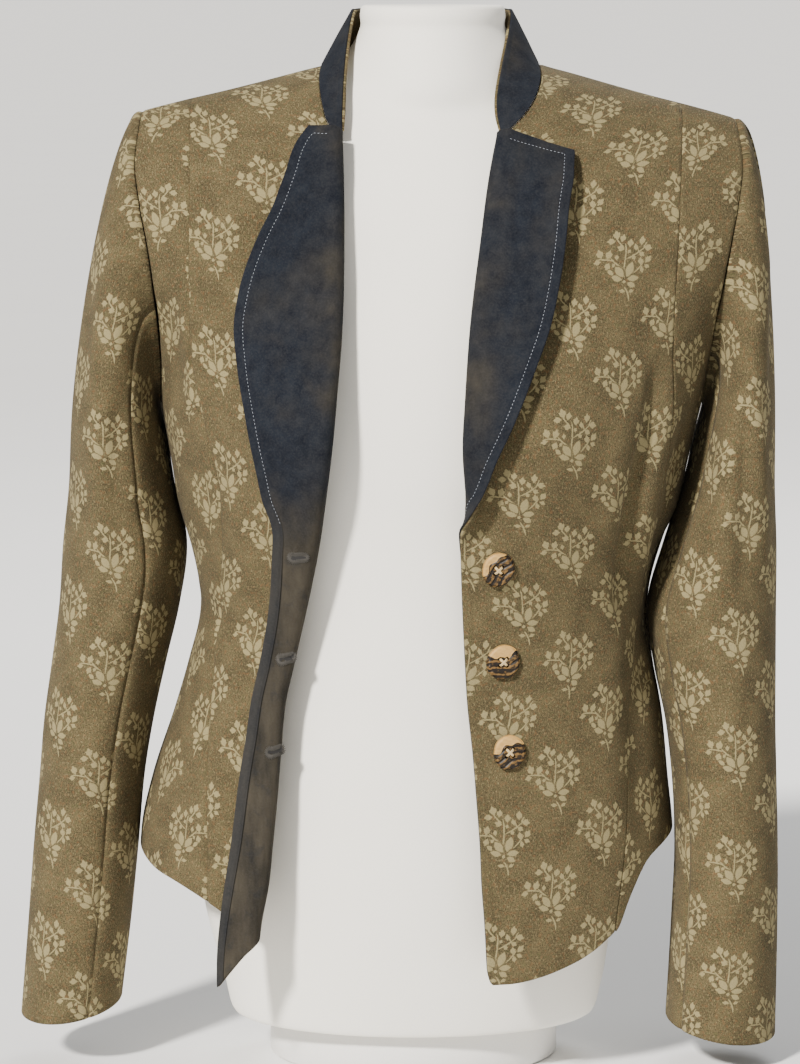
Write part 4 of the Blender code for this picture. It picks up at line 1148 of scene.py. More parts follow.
necks = {}
for side, name in ((-1, "right"), (1, "left")):
    frontNeck = frontSolids(side, name)
    points, normals = frontSide(side)
    panel(f"front_side_{name}", "front", points, normals, points.shape[1] // 2, side > 0)
    points, normals, neckCount = backHalf(side)
    rear = points[-1, :neckCount][::-1]
    panel(f"back_{name}", "back", points, normals, 0, side < 0)
    sleeve(side, name)
    necks[side] = np.concatenate([frontNeck, rear[1:]])
collar(necks)
print("cloth shells built")


# Dress form

def formSection(z, around):
    # One level ring of the dress form.
    half = column(formCut["levels"], z, 1)
    inset = column(formCut["levels"], z, 2)
    edge = formEdge(z, half)
    turn = circle(around)
    middle = bodyMiddle(z)
    x = middle + edge * np.cos(turn)
    back = np.sin(turn) < 0
    gap = formCut["shoulderGap"]
    power = formCut["endPower"]
    closing = np.maximum(1 - (np.abs(x - middle) / half) ** power, 0) ** (1 / power)
    depth = np.sqrt(np.maximum(depthSquared(x, z, back, inset, gap), 0))
    if z < formCut["jacketStart"]:
        oval = np.abs(np.sin(turn)) ** (2 / torso["power"])
        centre = np.sqrt(np.maximum(depthSquared(middle, z, back, inset, gap), 0))
        blend = np.clip((z - formCut["ovalTop"]) / (formCut["jacketStart"] - formCut["ovalTop"]), 0, 1)
        depth = depth * closing * blend + np.minimum(centre * oval, depth) * (1 - blend)
    else:
        depth = depth * closing
    rise = ease((z - formCut["hollowFrom"]) / formCut["hollowRise"])
    near = ease((formCut["hollowX"] - np.abs(x - middle)) / formCut["hollowEase"])
    depth = depth * (1 - formCut["hollow"] * rise * near)
    flare = neckFlare(z)
    fromNeck = (x - middle - formCut["neckShift"]) / formCut["neckHalf"] / flare
    neck = np.sqrt(np.maximum(1 - fromNeck**2, 0)) * formCut["neckDepth"] * flare
    depth = np.maximum(depth, neck * ease((z - formCut["neckStart"] + 6) / 12))
    return np.stack([x, np.where(back, depth, -depth), np.full(len(turn), float(z))], -1)


def tubeFaces(rings, around):
    # Faces of a stack of closed rings, with both ends filled.
    r, c = np.meshgrid(np.arange(rings - 1), np.arange(around), indexing="ij")
    d = (c + 1) % around
    corners = (r * around + c, r * around + d, (r + 1) * around + d, (r + 1) * around + c)
    faces = np.stack([corner.ravel() for corner in corners], 1).tolist()
    faces.append(list(range(around))[::-1])
    faces.append(list(range((rings - 1) * around, rings * around)))
    return faces


formLook = {
    "around": 168,
    "levelStep": 7.0,
    "shoulderStep": 4.0,
    "smoothing": 26,
    "smoothFrom": 560.0,
    "smoothTo": 716.0,
    "smoothHalf": 88.0,
    "lowShrink": (0.982, 0.99, 0.996),
    "neckEnd": ((722.5, 0.99), (724, 0.975), (725, 0.94), (725, 0.5)),
    # Share of the base's width, and height, from the floor up.
    "baseProfile": ((0.985, 0), (1, 1.5), (1, 27), (0.99, 30), (0.965, 31.7), (0.5, 31.7)),
    "baseAround": 120,
}


def dressForm():
    around = formLook["around"]
    low = np.concatenate([(32, 32.6, 34.5, 38), np.arange(44, 637, formLook["levelStep"])])
    rings = [formSection(z, around) for z in low]
    for x in np.arange(184, 60, -formLook["shoulderStep"]):
        rings.append(formSection(float(shoulderHeight(x + torso["seamX"]) - formCut["shoulderGap"]), around))
    turn = circle(around)
    for z, shrink in [(z, 1) for z in np.arange(699, 721, 2.0)] + list(formLook["neckEnd"]):
        flare = neckFlare(z) * shrink
        neckMiddle = bodyMiddle(z) + formCut["neckShift"]
        rings.append(oval(neckMiddle, formCut["neckHalf"] * flare, -formCut["neckDepth"] * flare, turn, z))
    rings = np.array(rings)
    low = rings[:3, :, :2]
    middle = low.mean(1, keepdims=True)
    rings[:3, :, :2] = (low - middle) * np.array(formLook["lowShrink"])[:, None, None] + middle
    smoothed = rings.copy()
    for _ in range(formLook["smoothing"]):
        smoothed[1:-1] = (smoothed[:-2] + 2 * smoothed[1:-1] + smoothed[2:]) / 4
        smoothed = (np.roll(smoothed, 1, 1) + 2 * smoothed + np.roll(smoothed, -1, 1)) / 4
    z = rings[..., 2:]
    weight = ease((z - formLook["smoothFrom"]) / 60) * ease((formLook["smoothTo"] - z) / 8)
    outside = np.abs(rings[..., :1] - bodyMiddle(650)) > formLook["smoothHalf"]
    weight = np.where(outside, 0, weight)
    rings = rings * (1 - weight) + smoothed * weight
    points = rings.reshape(-1, 3)
    looks["dress_form"] = buildMesh("dress_form", points, tubeFaces(len(rings), around), points[:, (0, 2)])


def formBase():
    around = formLook["baseAround"]
    turn = circle(around)
    rings = []
    for share, z in formLook["baseProfile"]:
        rings.append(oval(bodyMiddle(60), formCut["baseHalf"] * share, formCut["baseDepth"] * share, turn, z))
    points = np.concatenate(rings)
    looks["form_base"] = buildMesh("form_base", points, tubeFaces(len(rings), around), points[:, :2])


# Buttons

# Each button is a slice of antler: how far it is turned, how much of it is bark, and how it is out of round.
buttonLook = {
    "rings": 40,
    "around": 128,
    # Waves of the outline, of the bark's edge and of its ridges: how many, turns of the seed, and height.
    "outline": ((3, 1, 0.012), (7, 2, 0.008)),
    "wander": ((3.1, 1, 0.14), (8.3, 2, 0.07)),
    "ridges": ((17, 2.2, 2.6), (31, 3, 4.1)),
    "ridge": 0.34,
    "barkEase": 0.16,
    "barkLift": 0.35,
    "boneDrop": 0.25,
    "edgeFrom": 0.82,
    "dish": 0.5,
    "dishWidth": 2.4,
    "holeDepth": 2.6,
    # The side and the back: share of the radius, and height.
    "under": ((1.005, 2.1), (1.0, 0.9), (0.93, 0.15), (0.5, 0.0)),
    "strands": (-0.35, 0.35),
    "slices": (
        {"turn": 0.75, "barkFrom": -0.50, "oval": 0.045, "seed": 1.3},
        {"turn": 1.35, "barkFrom": -0.44, "oval": 0.03, "seed": 4.1},
        {"turn": 1.2, "barkFrom": -0.38, "oval": 0.04, "seed": 7.7},
    ),
    "threadRadius": 0.5,
}


def button(index, x, z, cut):
    # A slice of antler with four holes, lying on the cloth, sewn on with a crossed thread.
    place, n = bodyPoint(x, z)
    across = unit(np.cross(np.array([0, 0, 1.0]), n))
    up = np.cross(n, across)
    if across[0] < 0:
        across, up = -across, -up
    if up[2] < 0:
        up = -up
    turn = circle(buttonLook["around"])
    seed = cut["seed"]
    radius = buttonCut["radius"] * (
        1 + cut["oval"] * (np.cos(2 * (turn - seed)) - 1)
        + sum(high * np.sin(waves * turn + times * seed) for waves, times, high in buttonLook["outline"]))
    shares = np.linspace(0.0, 1, buttonLook["rings"] + 1)[1:]
    thick, edge = buttonCut["thick"], buttonCut["edge"]
    points, bark, holes = [], [], []
    for share in shares:
        px, py = radius * share * np.cos(turn), radius * share * np.sin(turn)
        side = (px * np.cos(cut["turn"]) - py * np.sin(cut["turn"])) / buttonCut["radius"]
        lengthwise = (px * np.sin(cut["turn"]) + py * np.cos(cut["turn"])) / buttonCut["radius"]
        wander = sum(
            high * np.sin(waves * lengthwise + times * seed) for waves, times, high in buttonLook["wander"])
        rough = ease((side - cut["barkFrom"] + wander) / buttonLook["barkEase"])
        coarse, fine = (
            side * waves + bend * np.sin(lengthwise * often + seed)
            for waves, bend, often in buttonLook["ridges"])
        ridges = np.sin(coarse + seed) + 0.6 * np.sin(fine)
        nearEdge = ease((share - buttonLook["edgeFrom"]) / (1 - buttonLook["edgeFrom"]))
        dish = buttonLook["dish"] * np.exp(-(share * buttonLook["dishWidth"]) ** 2)
        height = thick - 0.9 + 0.5 * (1 - share**2) - edge * 1.2 * nearEdge**2 - dish
        raised = buttonLook["barkLift"] + buttonLook["ridge"] * ridges * (1 - dish)
        height = height + rough * raised - buttonLook["boneDrop"] * (1 - rough)
        hole = np.zeros(len(turn))
        for i, j in ((-1, -1), (-1, 1), (1, -1), (1, 1)):
            far = np.hypot(px - i * buttonCut["holeOffset"], py - j * buttonCut["holeOffset"])
            hole = np.maximum(hole, ease((buttonCut["holeRadius"] + 0.25 - far) / 0.45))
        height = np.minimum(height, thick) - buttonLook["holeDepth"] * hole
        high = (buttonCut["gap"] + height)[:, None]
        points.append(place + high * n + px[:, None] * across + py[:, None] * up)
        bark.append(rough + 0.25 * ridges * rough)
        holes.append(hole)
    for share, height in buttonLook["under"]:
        px, py = radius * share * np.cos(turn), radius * share * np.sin(turn)
        points.append(place + (buttonCut["gap"] + height) * n + px[:, None] * across + py[:, None] * up)
        bark.append(bark[-1])
        holes.append(np.zeros(len(turn)))
    name = f"button_{index}"
    uv = np.stack([np.concatenate([(p - place) @ axis for p in points]) for axis in (across, up)], 1)
    # The hole attribute also tells the material where to paint shade in the holes.
    looks[name] = buildMesh(
        name, np.concatenate(points), tubeFaces(len(points), len(turn)), uv,
        (("bark", np.concatenate(bark)), ("hole", np.concatenate(holes))))
    top = buttonCut["gap"] + thick
    offset = buttonCut["holeOffset"]
    bars = (((-1, -1), (1, 1)), ((-1, 1), (1, -1)))
    for strand in buttonLook["strands"]:
        for a, b in bars:
            run = []
            for share in np.linspace(0, 1, 13):
                flat = offset * (np.array(a) * (1 - share) + np.array(b) * share)
                flat = flat + strand * np.array([a[1], -a[0]]) / 1.4
                rise = top - 1.9 * abs(2 * share - 1) ** 8 + 0.25 * strand
                run.append(place + flat[0] * across + flat[1] * up + rise * n)
            threads.append(np.array(run))


def tube(paths, radius, sides=8):
    # Round cords along these paths, as one mesh.
    parts = []
    for path in paths:
        ahead = unit(np.gradient(path, axis=0))
        side = unit(np.cross(ahead, np.array([0.3, 0.1, 0.95])))
        other = np.cross(ahead, side)
        turn = circle(sides)[None, :, None]
        rings = path[:, None] + radius * (np.cos(turn) * side[:, None] + np.sin(turn) * other[:, None])
        parts.append(rings.reshape(-1, 3))
    points, starts = merged(parts)
    return points, [
        [start + v for v in face]
        for start, path in zip(starts, paths) for face in tubeFaces(len(path), sides)]


# Stitching

stitchLook = {
    "lift": 0.12,
    "inset": 6.2,
    # Pitch, length and radius of the stitches.
    "lapel": (2.5, 1.45, 0.17),
    "hole": (0.8, 3.5, 0.5),
    "lowRight": 392.0,
    "lowLeft": 399.0,
}


def lapelPath(side):
    # The row of stitches inside a lapel's outer and top edges.
    shown, out, near, top = (facings[side][key] for key in ("shown", "normals", "near", "top"))
    inset = stitchLook["inset"]
    lowest = forSide(stitchLook, "low", side)
    width = near[-1, shown.shape[1] - grid["flapColumns"] - grid["edgeColumns"]]

    def inside(away, values):
        # The value where a line of the facing lies the inset away from an edge.
        return np.array([np.interp(inset, away[::-1], line[::-1]) for line in values.T])

    def laid(away, line):
        return inside(away, shown[line]) + stitchLook["lift"] * unit(inside(away, out[line]))

    down, across = [], []
    for row in range(shown.shape[0]):
        spot = laid(near[row], row)
        if inside(near[row], shown[row])[2] > lowest and inside(near[row], top[row, None].T)[0] > inset:
            down.append(spot)
    for c in range(shown.shape[1]):
        if inset < inside(top[:, c], near[:, c, None])[0] < width + 2:
            across.append(laid(top[:, c], np.s_[:, c]))
    return np.array(down + across[::-1])


def join(tree, value, target):
    # Links a socket or a shader value to a node's socket, or sets the socket to a plain value.
    if isinstance(value, Value):
        value = value.socket
    if isinstance(value, bpy.types.NodeSocket):
        tree.links.new(value, target)
    else:
        target.default_value = value


def addNode(tree, kind, settings=None, sockets=None):
    node = tree.nodes.new(kind)
    for key, value in (settings or {}).items():
        setattr(node, key, value)
    for key, value in (sockets or {}).items():
        join(tree, value, node.inputs[key])
    return node


def stitchTree():
    # Stitches laid along a path, each lying the way that the path's attribute "lay" points.
    tree = bpy.data.node_groups.new("stitches", "GeometryNodeTree")
    tree.is_modifier = True
    inputs = {
        "Path": "Geometry", "Pitch": "Float", "Length": "Float", "Radius": "Float", "Material": "Material"}
    for label, kind in inputs.items():
        tree.interface.new_socket(label, in_out="INPUT", socket_type="NodeSocket" + kind)
    tree.interface.new_socket("Stitches", in_out="OUTPUT", socket_type="NodeSocketGeometry")

    def add(kind, settings=None, sockets=None):
        return addNode(tree, kind, settings, sockets)

    given = add("NodeGroupInput")
    path = add("GeometryNodeMeshToCurve", None, {"Mesh": given.outputs["Path"]})
    spaced = add("GeometryNodeResampleCurve", {"mode": "LENGTH"}, {
        "Curve": path.outputs[0], "Length": given.outputs["Pitch"]})
    bead = add("GeometryNodeMeshUVSphere", None, {"Segments": 8, "Rings": 6, "Radius": 1.0})
    lay = add("GeometryNodeInputNamedAttribute", {"data_type": "FLOAT_VECTOR"}, {"Name": "lay"})
    turn = add("FunctionNodeAlignRotationToVector", {"axis": "Z"}, {"Vector": lay.outputs["Attribute"]})
    half = add("ShaderNodeMath", {"operation": "MULTIPLY"}, {0: given.outputs["Length"], 1: 0.5})
    size = add("ShaderNodeCombineXYZ", None, {
        "X": given.outputs["Radius"], "Y": given.outputs["Radius"], "Z": half.outputs[0]})
    laid = add("GeometryNodeInstanceOnPoints", None, {
        "Points": spaced.outputs[0], "Instance": bead.outputs["Mesh"],
        "Rotation": turn.outputs[0], "Scale": size.outputs[0]})
    real = add("GeometryNodeRealizeInstances", None, {"Geometry": laid.outputs[0]})
    dyed = add("GeometryNodeSetMaterial", None, {
        "Geometry": real.outputs[0], "Material": given.outputs["Material"]})
    result = add("NodeGroupOutput")
    tree.links.new(dyed.outputs[0], result.inputs[0])
    return tree


def stitchRow(name, paths, lays, pitch, length, radius, material):
    # Builds one row or several, and keeps only the finished mesh.
    points, starts = merged(paths)
    edges = [(start + k, start + k + 1) for start, path in zip(starts, paths) for k in range(len(path) - 1)]
    mesh = bpy.data.meshes.new(name)
    mesh.from_pydata(toRow(points).tolist(), edges, [])
    layer = mesh.attributes.new("lay", "FLOAT_VECTOR", "POINT")
    layer.data.foreach_set("vector", np.concatenate(lays).astype(np.float32).ravel())
    obj = linked(name, mesh)
    modifier = obj.modifiers.new("stitches", "NODES")
    modifier.node_group = trees["stitches"]
    items = trees["stitches"].interface.items_tree
    names = {item.name: item.identifier for item in items if item.in_out == "INPUT"}
    for label, size in (("Pitch", pitch), ("Length", length), ("Radius", radius)):
        modifier[names[label]] = size / 1000
    modifier[names["Material"]] = material
    finished = bpy.data.meshes.new_from_object(obj.evaluated_get(bpy.context.evaluated_depsgraph_get()))
    obj.modifiers.clear()
    obj.data = finished
    finished.polygons.foreach_set("use_smooth", np.ones(len(finished.polygons), bool))
    if not finished.materials:
        finished.materials.append(material)
    return obj


# Keyhole buttonholes in the turned-back right front: the eyelet's end and the plain end, as x and height.
holeLook = {
    "places": (
        ((-91.2, 368.4), (-84.1, 369.2)),
        ((-99.7, 298.5), (-93.2, 300.2)),
        ((-106.9, 236.2), (-101.0, 237.6)),
    ),
    "eyelet": 3.0,
    "slot": 2.3,
    "stitchLift": 0.1,
    "slotLift": 0.3,
    "slotShare": 0.92,
    "rayFrom": -400.0,
    "rayLift": 12.0,
}


def keyhole(size):
    # Outline of a keyhole as (along, up), from the eyelet's end at 0 to the plain end.
    eyelet, slot = holeLook["eyelet"], holeLook["slot"]
    start = np.arcsin(slot / eyelet)
    turn = np.linspace(start, 2 * np.pi - start, 26)
    ring = eyelet * np.stack([np.cos(turn), np.sin(turn)], 1)
    end = np.linspace(ring[0, 0], size, 12)
    upper = np.stack([end, np.full(12, slot)], 1)
    half = np.linspace(0, np.pi, 7)
    close = np.stack([size + slot * np.sin(half), slot * np.cos(half)], 1)
    lower = np.stack([end[::-1], np.full(12, -slot)], 1)
    return np.concatenate([ring, lower[::-1][1:], close[::-1][1:-1], upper[::-1][:-1], ring[:1]])


def buttonholes():
    facing = looks["facing_right"]
    shape = BVHTree.FromPolygons(
        [tuple(v.co) for v in facing.data.vertices], [tuple(p.vertices) for p in facing.data.polygons])
    paths, lays, slitShades = [], [], []
    for start, end in holeLook["places"]:
        ends = []
        for x, z in (start, end):
            hit = shape.ray_cast(Vector(toRow((x, holeLook["rayFrom"], z))), Vector((0, 1, 0)))
            ends.append((fromRow(hit[0]), np.array(hit[1])))
        (a, n), (b, _) = ends
        n = n if n[1] < 0 else -n
        along = unit(b - a)
        up = unit(np.cross(along, n))
        up = up if up[2] > 0 else -up
        size = np.linalg.norm(b - a)

        def laid(flat, lift):
            spots = []
            for s, t in flat:
                aim = a + s * along + t * up
                hit = shape.ray_cast(Vector(toRow(aim + holeLook["rayLift"] * n)), Vector(-n))
                spot = fromRow(hit[0]) if hit[0] else aim
                spots.append(spot + lift * n)
            return np.array(spots)

        outline = keyhole(size)
        path = laid(outline, holeLook["stitchLift"])
        ahead = unit(np.gradient(path, axis=0))
        paths.append(path)
        lays.append(unit(np.cross(ahead, n)))
        # A near-black sheet inside each keyhole's stitching: painted shade in the slit.
        inner = laid(outline * np.array([1, holeLook["slotShare"]]), holeLook["slotLift"])
        slitShades.append(inner[:-1])
    return paths, lays, slitShades


dressForm()
formBase()
threads = []
for index, (place, cut) in enumerate(zip(buttonCut["places"], buttonLook["slices"]), start=1):
    button(index, place[0], place[1], cut)
print("form and buttons built")


# Materials

class Value:
    # A shader value that ordinary operators work on.

    def __init__(self, look, socket):
        self.look = look
        self.socket = socket

    def do(self, operation, *others):
        return self.look.math(operation, self, *others)

    def __add__(self, other):
        return self.do("ADD", other)

    __radd__ = __add__

    def __mul__(self, other):
        return self.do("MULTIPLY", other)

    __rmul__ = __mul__

    def __sub__(self, other):
        return self.do("SUBTRACT", other)

    def __rsub__(self, other):
        return self.look.math("SUBTRACT", other, self)

    def __truediv__(self, other):
        return self.do("DIVIDE", other)

    def __rtruediv__(self, other):
        return self.look.math("DIVIDE", other, self)

    def __pow__(self, other):
        return self.do("POWER", other)

    def __abs__(self):
        return self.do("ABSOLUTE")

    def least(self, other):
        return self.do("MINIMUM", other)

    def most(self, other):
        return self.do("MAXIMUM", other)

    def kept(self):
        return self.least(1).most(0)


class Look:
    # One material and its nodes.

    def __init__(self, name, settings):
        self.material = bpy.data.materials.new(name)
        self.material.use_nodes = True
        self.tree = self.material.node_tree
        self.shader = self.tree.nodes["Principled BSDF"]
        for key, value in settings.items():
            self.shader.inputs[key].default_value = value

    def node(self, kind, settings=None, sockets=None):
        return addNode(self.tree, kind, settings, sockets)

    def math(self, operation, *parts):
        node = self.node("ShaderNodeMath", {"operation": operation}, dict(enumerate(parts)))
        return Value(self, node.outputs[0])

    def vector(self, operation, a, b, output=0):
        return self.node("ShaderNodeVectorMath", {"operation": operation}, {0: a, 1: b}).outputs[output]

    def dot(self, vector, weights):
        return Value(self, self.vector("DOT_PRODUCT", vector, weights, "Value"))

    def combine(self, x, y, z=0.0):
        return self.node("ShaderNodeCombineXYZ", None, {"X": x, "Y": y, "Z": z}).outputs[0]

    def split(self, vector):
        parts = self.node("ShaderNodeSeparateXYZ", None, {0: vector})
        return [Value(self, output) for output in parts.outputs]

    def clothPlace(self):
        # Place on the cloth, in millimetres.
        uv = self.node("ShaderNodeUVMap", {"uv_map": "cloth"}).outputs[0]
        return self.vector("MULTIPLY", uv, (1000, 1000, 1000))

    def objectPlace(self):
        place = self.node("ShaderNodeTexCoord").outputs["Object"]
        return self.vector("MULTIPLY", place, (1000, 1000, 1000))

    def attribute(self, name):
        return Value(self, self.node("ShaderNodeAttribute", {"attribute_name": name}).outputs["Fac"])

    def noise(self, place, size, detail=2.0, roughness=0.5, stretch=(1, 1, 1)):
        # Smooth noise whose features are about this size in millimetres, from 0 to 1.
        scaled = self.vector("MULTIPLY", place, tuple(s / size for s in stretch))
        node = self.node("ShaderNodeTexNoise", {"noise_dimensions": "3D"}, {
            "Vector": scaled, "Scale": 1.0, "Detail": detail, "Roughness": roughness})
        return Value(self, node.outputs[0])

    def above(self, value, start, width):
        # 0 below start, 1 above start + width, straight between.
        return ((value - start) / width).kept()

    def mix(self, share, a, b):
        node = self.node("ShaderNodeMix", {"data_type": "RGBA"}, {0: share, 6: a, 7: b})
        return node.outputs[2]

    def bump(self, height, distance, strength=1.0):
        node = self.node("ShaderNodeBump", None, {
            "Height": height, "Distance": distance / 1000, "Strength": strength})
        join(self.tree, node.outputs[0], self.shader.inputs["Normal"])

    def colour(self, value):
        join(self.tree, value, self.shader.inputs["Base Color"])


def paint(red, green, blue):
    # Screen colour, 0 to 255, as a shader colour.
    def linear(part):
        part = part / 255
        return part / 12.92 if part <= 0.04045 else ((part + 0.055) / 1.055) ** 2.4
    return (linear(red), linear(green), linear(blue), 1)


# Woven sprig, charted in millimetres from the sprig's middle, on a half-drop repeat. A petal or
# leaf is its middle (across, up), the way it points in degrees, half its length and half its width; a
# stem also has its bend.
motif = {
    "across": 36.0,
    "up": 39.0,
    "size": 0.9,
    "ragged": 0.9,
    "petals": (
        (-3.7, -5.8, 129, 5.6, 3.2), (4.2, -4.1, 72, 6.3, 3.4), (-5.6, -10.6, 162, 4.7, 2.5),
        (7.2, -10.8, 4, 4.9, 2.6), (6.1, -15.5, -27, 3.8, 2.4), (-10.6, -6.2, 140, 3.1, 1.8),
        (0.3, -13.2, 90, 1.5, 1.5),
    ),
    "leaves": (
        (-0.9, -20.0, 172, 3.1, 1.3), (6.5, -20.2, 22, 2.6, 1.2), (-7.8, 21.6, 108, 3.9, 2.5),
        (-2.9, 19.4, 76, 3.3, 2.0), (-11.5, 16.8, 184, 3.5, 2.1), (3.1, 15.6, 82, 3.4, 2.2),
        (-3.9, 11.8, 162, 3.2, 2.1), (2.6, 9.4, 60, 1.8, 1.3), (11.9, 17.4, 86, 3.8, 2.1),
        (16.9, 11.9, -12, 3.6, 2.2), (12.6, 7.2, -30, 2.8, 1.7), (7.4, 12.5, 104, 3.0, 1.4),
        (6.6, 4.6, -58, 2.1, 1.4), (12.3, 2.0, 96, 3.1, 1.9), (18.1, 3.2, 52, 3.6, 2.1),
        (17.6, -2.0, -28, 2.7, 1.5), (13.8, -4.4, -76, 2.9, 1.5), (-19.4, 7.4, 112, 4.0, 2.4),
        (-12.6, 6.9, 74, 4.0, 2.3), (-21.0, 1.2, 192, 3.1, 1.7), (-13.1, -1.7, 248, 3.2, 2.1),
        (-6.4, 4.9, 96, 2.4, 1.4), (-8.6, -1.0, 236, 2.0, 1.2),
    ),
    "stems": (
        (3.2, -22.2, 112, 6.4, 0.68, -1.1), (0.3, -2.4, 90, 9.0, 0.68, 0.9),
        (-0.2, 9.8, 92, 6.0, 0.64, -1.0), (-5.0, 16.0, 132, 5.6, 0.59, 0.7),
        (7.6, 7.6, 32, 8.4, 0.64, -0.8), (14.4, 13.4, 66, 3.4, 0.55, 0.4),
        (11.0, -2.8, 48, 7.2, 0.59, -0.9), (-6.2, 0.51, 142, 7.2, 0.64, 0.8),
        (-15.2, 3.0, 176, 7.2, 0.59, -0.7), (9.4, 11.0, 110, 3.4, 0.51, 0.4),
    ),
    "ground": ((77, 69, 49), (95, 85, 60)),
    "sprig": (140, 129, 94),
}


def sprig(look, place):
    # 1 inside the woven sprigs, 0 on the ground.
    across, up, size = motif["across"], motif["up"], motif["size"]
    x, y, _ = look.split(place)
    x = x + (look.noise(place, 1.2, 1.0) - 0.5) * motif["ragged"]
    y = y + (look.noise(place, 1.4, 1.0) - 0.5) * motif["ragged"]
    near = (x.do("WRAP", across, -across), y.do("WRAP", up, -up))
    far = ((x + across).do("WRAP", across, -across), (y + up).do("WRAP", up, -up))
    first = (abs(near[0]) / across + abs(near[1]) / up).do("LESS_THAN", 1.0)
    spot = look.combine(*[b + (a - b) * first for a, b in zip(near, far)], 1.0)

    def axes(middleX, middleY, turn, length, width):
        c, s = np.cos(np.radians(turn)), np.sin(np.radians(turn))
        a, b = size * length, size * width
        along = look.dot(spot, (c / a, s / a, -(middleX * c + middleY * s) / length))
        return along, look.dot(spot, (-s / b, c / b, (middleX * s - middleY * c) / width))

    nearest, second = None, None
    for petal in motif["petals"]:
        along, side = axes(*petal)
        shape = along.do("MULTIPLY_ADD", along, abs(side))
        if nearest is None:
            nearest, second = shape, 9.0
        else:
            second = shape.most(nearest).least(second)
            nearest = nearest.least(shape)
    leaves = None
    for leaf in motif["leaves"]:
        along, side = axes(*leaf)
        side = abs(side)
        # A narrow middle lobe, and one lobe on each side that points forwards and out.
        shape = along.do("MULTIPLY_ADD", along, side * 1.2)
        forward = along.do("MULTIPLY_ADD", 0.8, side * 1.2 - 0.62)
        slant = side.do("MULTIPLY_ADD", 1.25, along * -1.75 - 0.82)
        shape = shape.least(forward.do("MULTIPLY_ADD", forward, abs(slant)))
        leaves = shape if leaves is None else leaves.least(shape)
    for *stem, bend in motif["stems"]:
        along, side = axes(*stem)
        square = along * along
        bent = square.do("MULTIPLY_ADD", bend / stem[-1], side) - 0.5 * bend / stem[-1]
        leaves = leaves.least(square.do("MULTIPLY_ADD", square, abs(bent)))
    petals = ((1.0 - nearest) * 4.0).kept() * ((second - nearest) * 3.0).kept()
    return petals.most(((1.05 - leaves) * 3.0).kept() * ((nearest - 1.05) * 3.0).kept())


def clothMaterial():
    look = Look("loden_cloth", {
        "Roughness": 0.93, "Sheen Weight": 0.02, "Sheen Roughness": 0.6, "Specular IOR Level": 0.06})
    place = look.clothPlace()
    grain = look.noise(place, 0.8, 2.0, 0.65)
    fibre = look.noise(place, 1.0, 3.0, 0.7, (1, 0.5, 1))
    cloud = look.noise(place, 22, 3.0, 0.6)
    tint = look.noise(place, 2.6, 3.0, 0.65, (1.0, 0.8, 1))
    ground = look.mix(look.above(cloud, 0.35, 0.3), *(paint(*shade) for shade in motif["ground"]))
    ground = look.mix(look.above(grain, 0.48, 0.12) * 0.7, ground, paint(36, 31, 22))
    ground = look.mix(look.above(tint, 0.55, 0.10) * 0.3, ground, paint(122, 82, 50))
    ground = look.mix(look.above(1 - tint, 0.56, 0.10) * 0.34, ground, paint(70, 76, 44))
    ground = look.mix(look.above(1 - fibre, 0.54, 0.10) * 0.45, ground, paint(142, 128, 96))
    light = look.mix(look.above(grain, 0.52, 0.14) * 0.32, paint(*motif["sprig"]), paint(86, 75, 48))
    mask = sprig(look, place)
    look.colour(look.mix(mask * 0.9, ground, light))
    x, y, _ = look.split(place)
    twill = ((x + y) * 5.2).do("SINE") * 0.5
    height = twill * 0.16 + fibre * 0.9 + mask * 0.18
    look.bump(height, 0.45, 0.7)
    return look.material


def suedeMaterial():
    look = Look("navy_suede", {
        "Roughness": 0.95, "Sheen Weight": 0.04, "Sheen Roughness": 0.45,
        "Sheen Tint": paint(150, 152, 160), "Specular IOR Level": 0.06})
    place = look.objectPlace()
    rim, high, roll = (look.attribute(name) for name in ("rim", "height", "fromRoll"))
    blotch = look.noise(place, 42, 3.0, 0.55)
    small = look.noise(place, 9, 3.0, 0.6)
    streak = look.noise(place, 14, 3.0, 0.6, (1, 1, 0.3))
    nap = look.noise(place, 1.3, 3.0, 0.7)
    low = look.above(415 - high, 0, 60)
    worn = look.above(26 - roll, 0, 24) * look.above(blotch + small * 0.3, 0.45, 0.5)
    worn = worn * 0.8 + look.above(blotch + small * 0.2, 0.58, 0.3) * 0.4
    worn = worn + low * look.above(streak + blotch, 0.25, 0.6)
    strip = look.above(7.0 - rim, 0, 0.8)
    worn = worn.kept() * (1 - strip * 0.55)
    blue = look.mix(look.above(small, 0.25, 0.5), paint(19, 22, 29), paint(31, 35, 42))
    brown = look.mix(look.above(streak, 0.3, 0.4), paint(38, 36, 32), paint(66, 61, 52))
    blue = look.mix(strip * low * 0.6, blue, paint(47, 49, 52))
    colour = look.mix(worn, blue, brown)
    colour = look.mix(low * look.above(small, 0.55, 0.12) * 0.4, colour, paint(33, 35, 38))
    colour = look.mix(look.above(nap, 0.42, 0.4) * 0.16, colour, paint(84, 82, 80))
    # Painted shade: a near-black line along the groove of the pressed seam, 7 mm in from the edge of the
    # lower facing.
    seam = look.above(0.9 - abs(rim - 7.0), 0, 0.7) * low
    look.colour(look.mix(seam * 0.85, colour, paint(13, 13, 14)))
    look.bump(nap * 0.8 + small * 0.5, 0.3, 0.5)
    return look.material


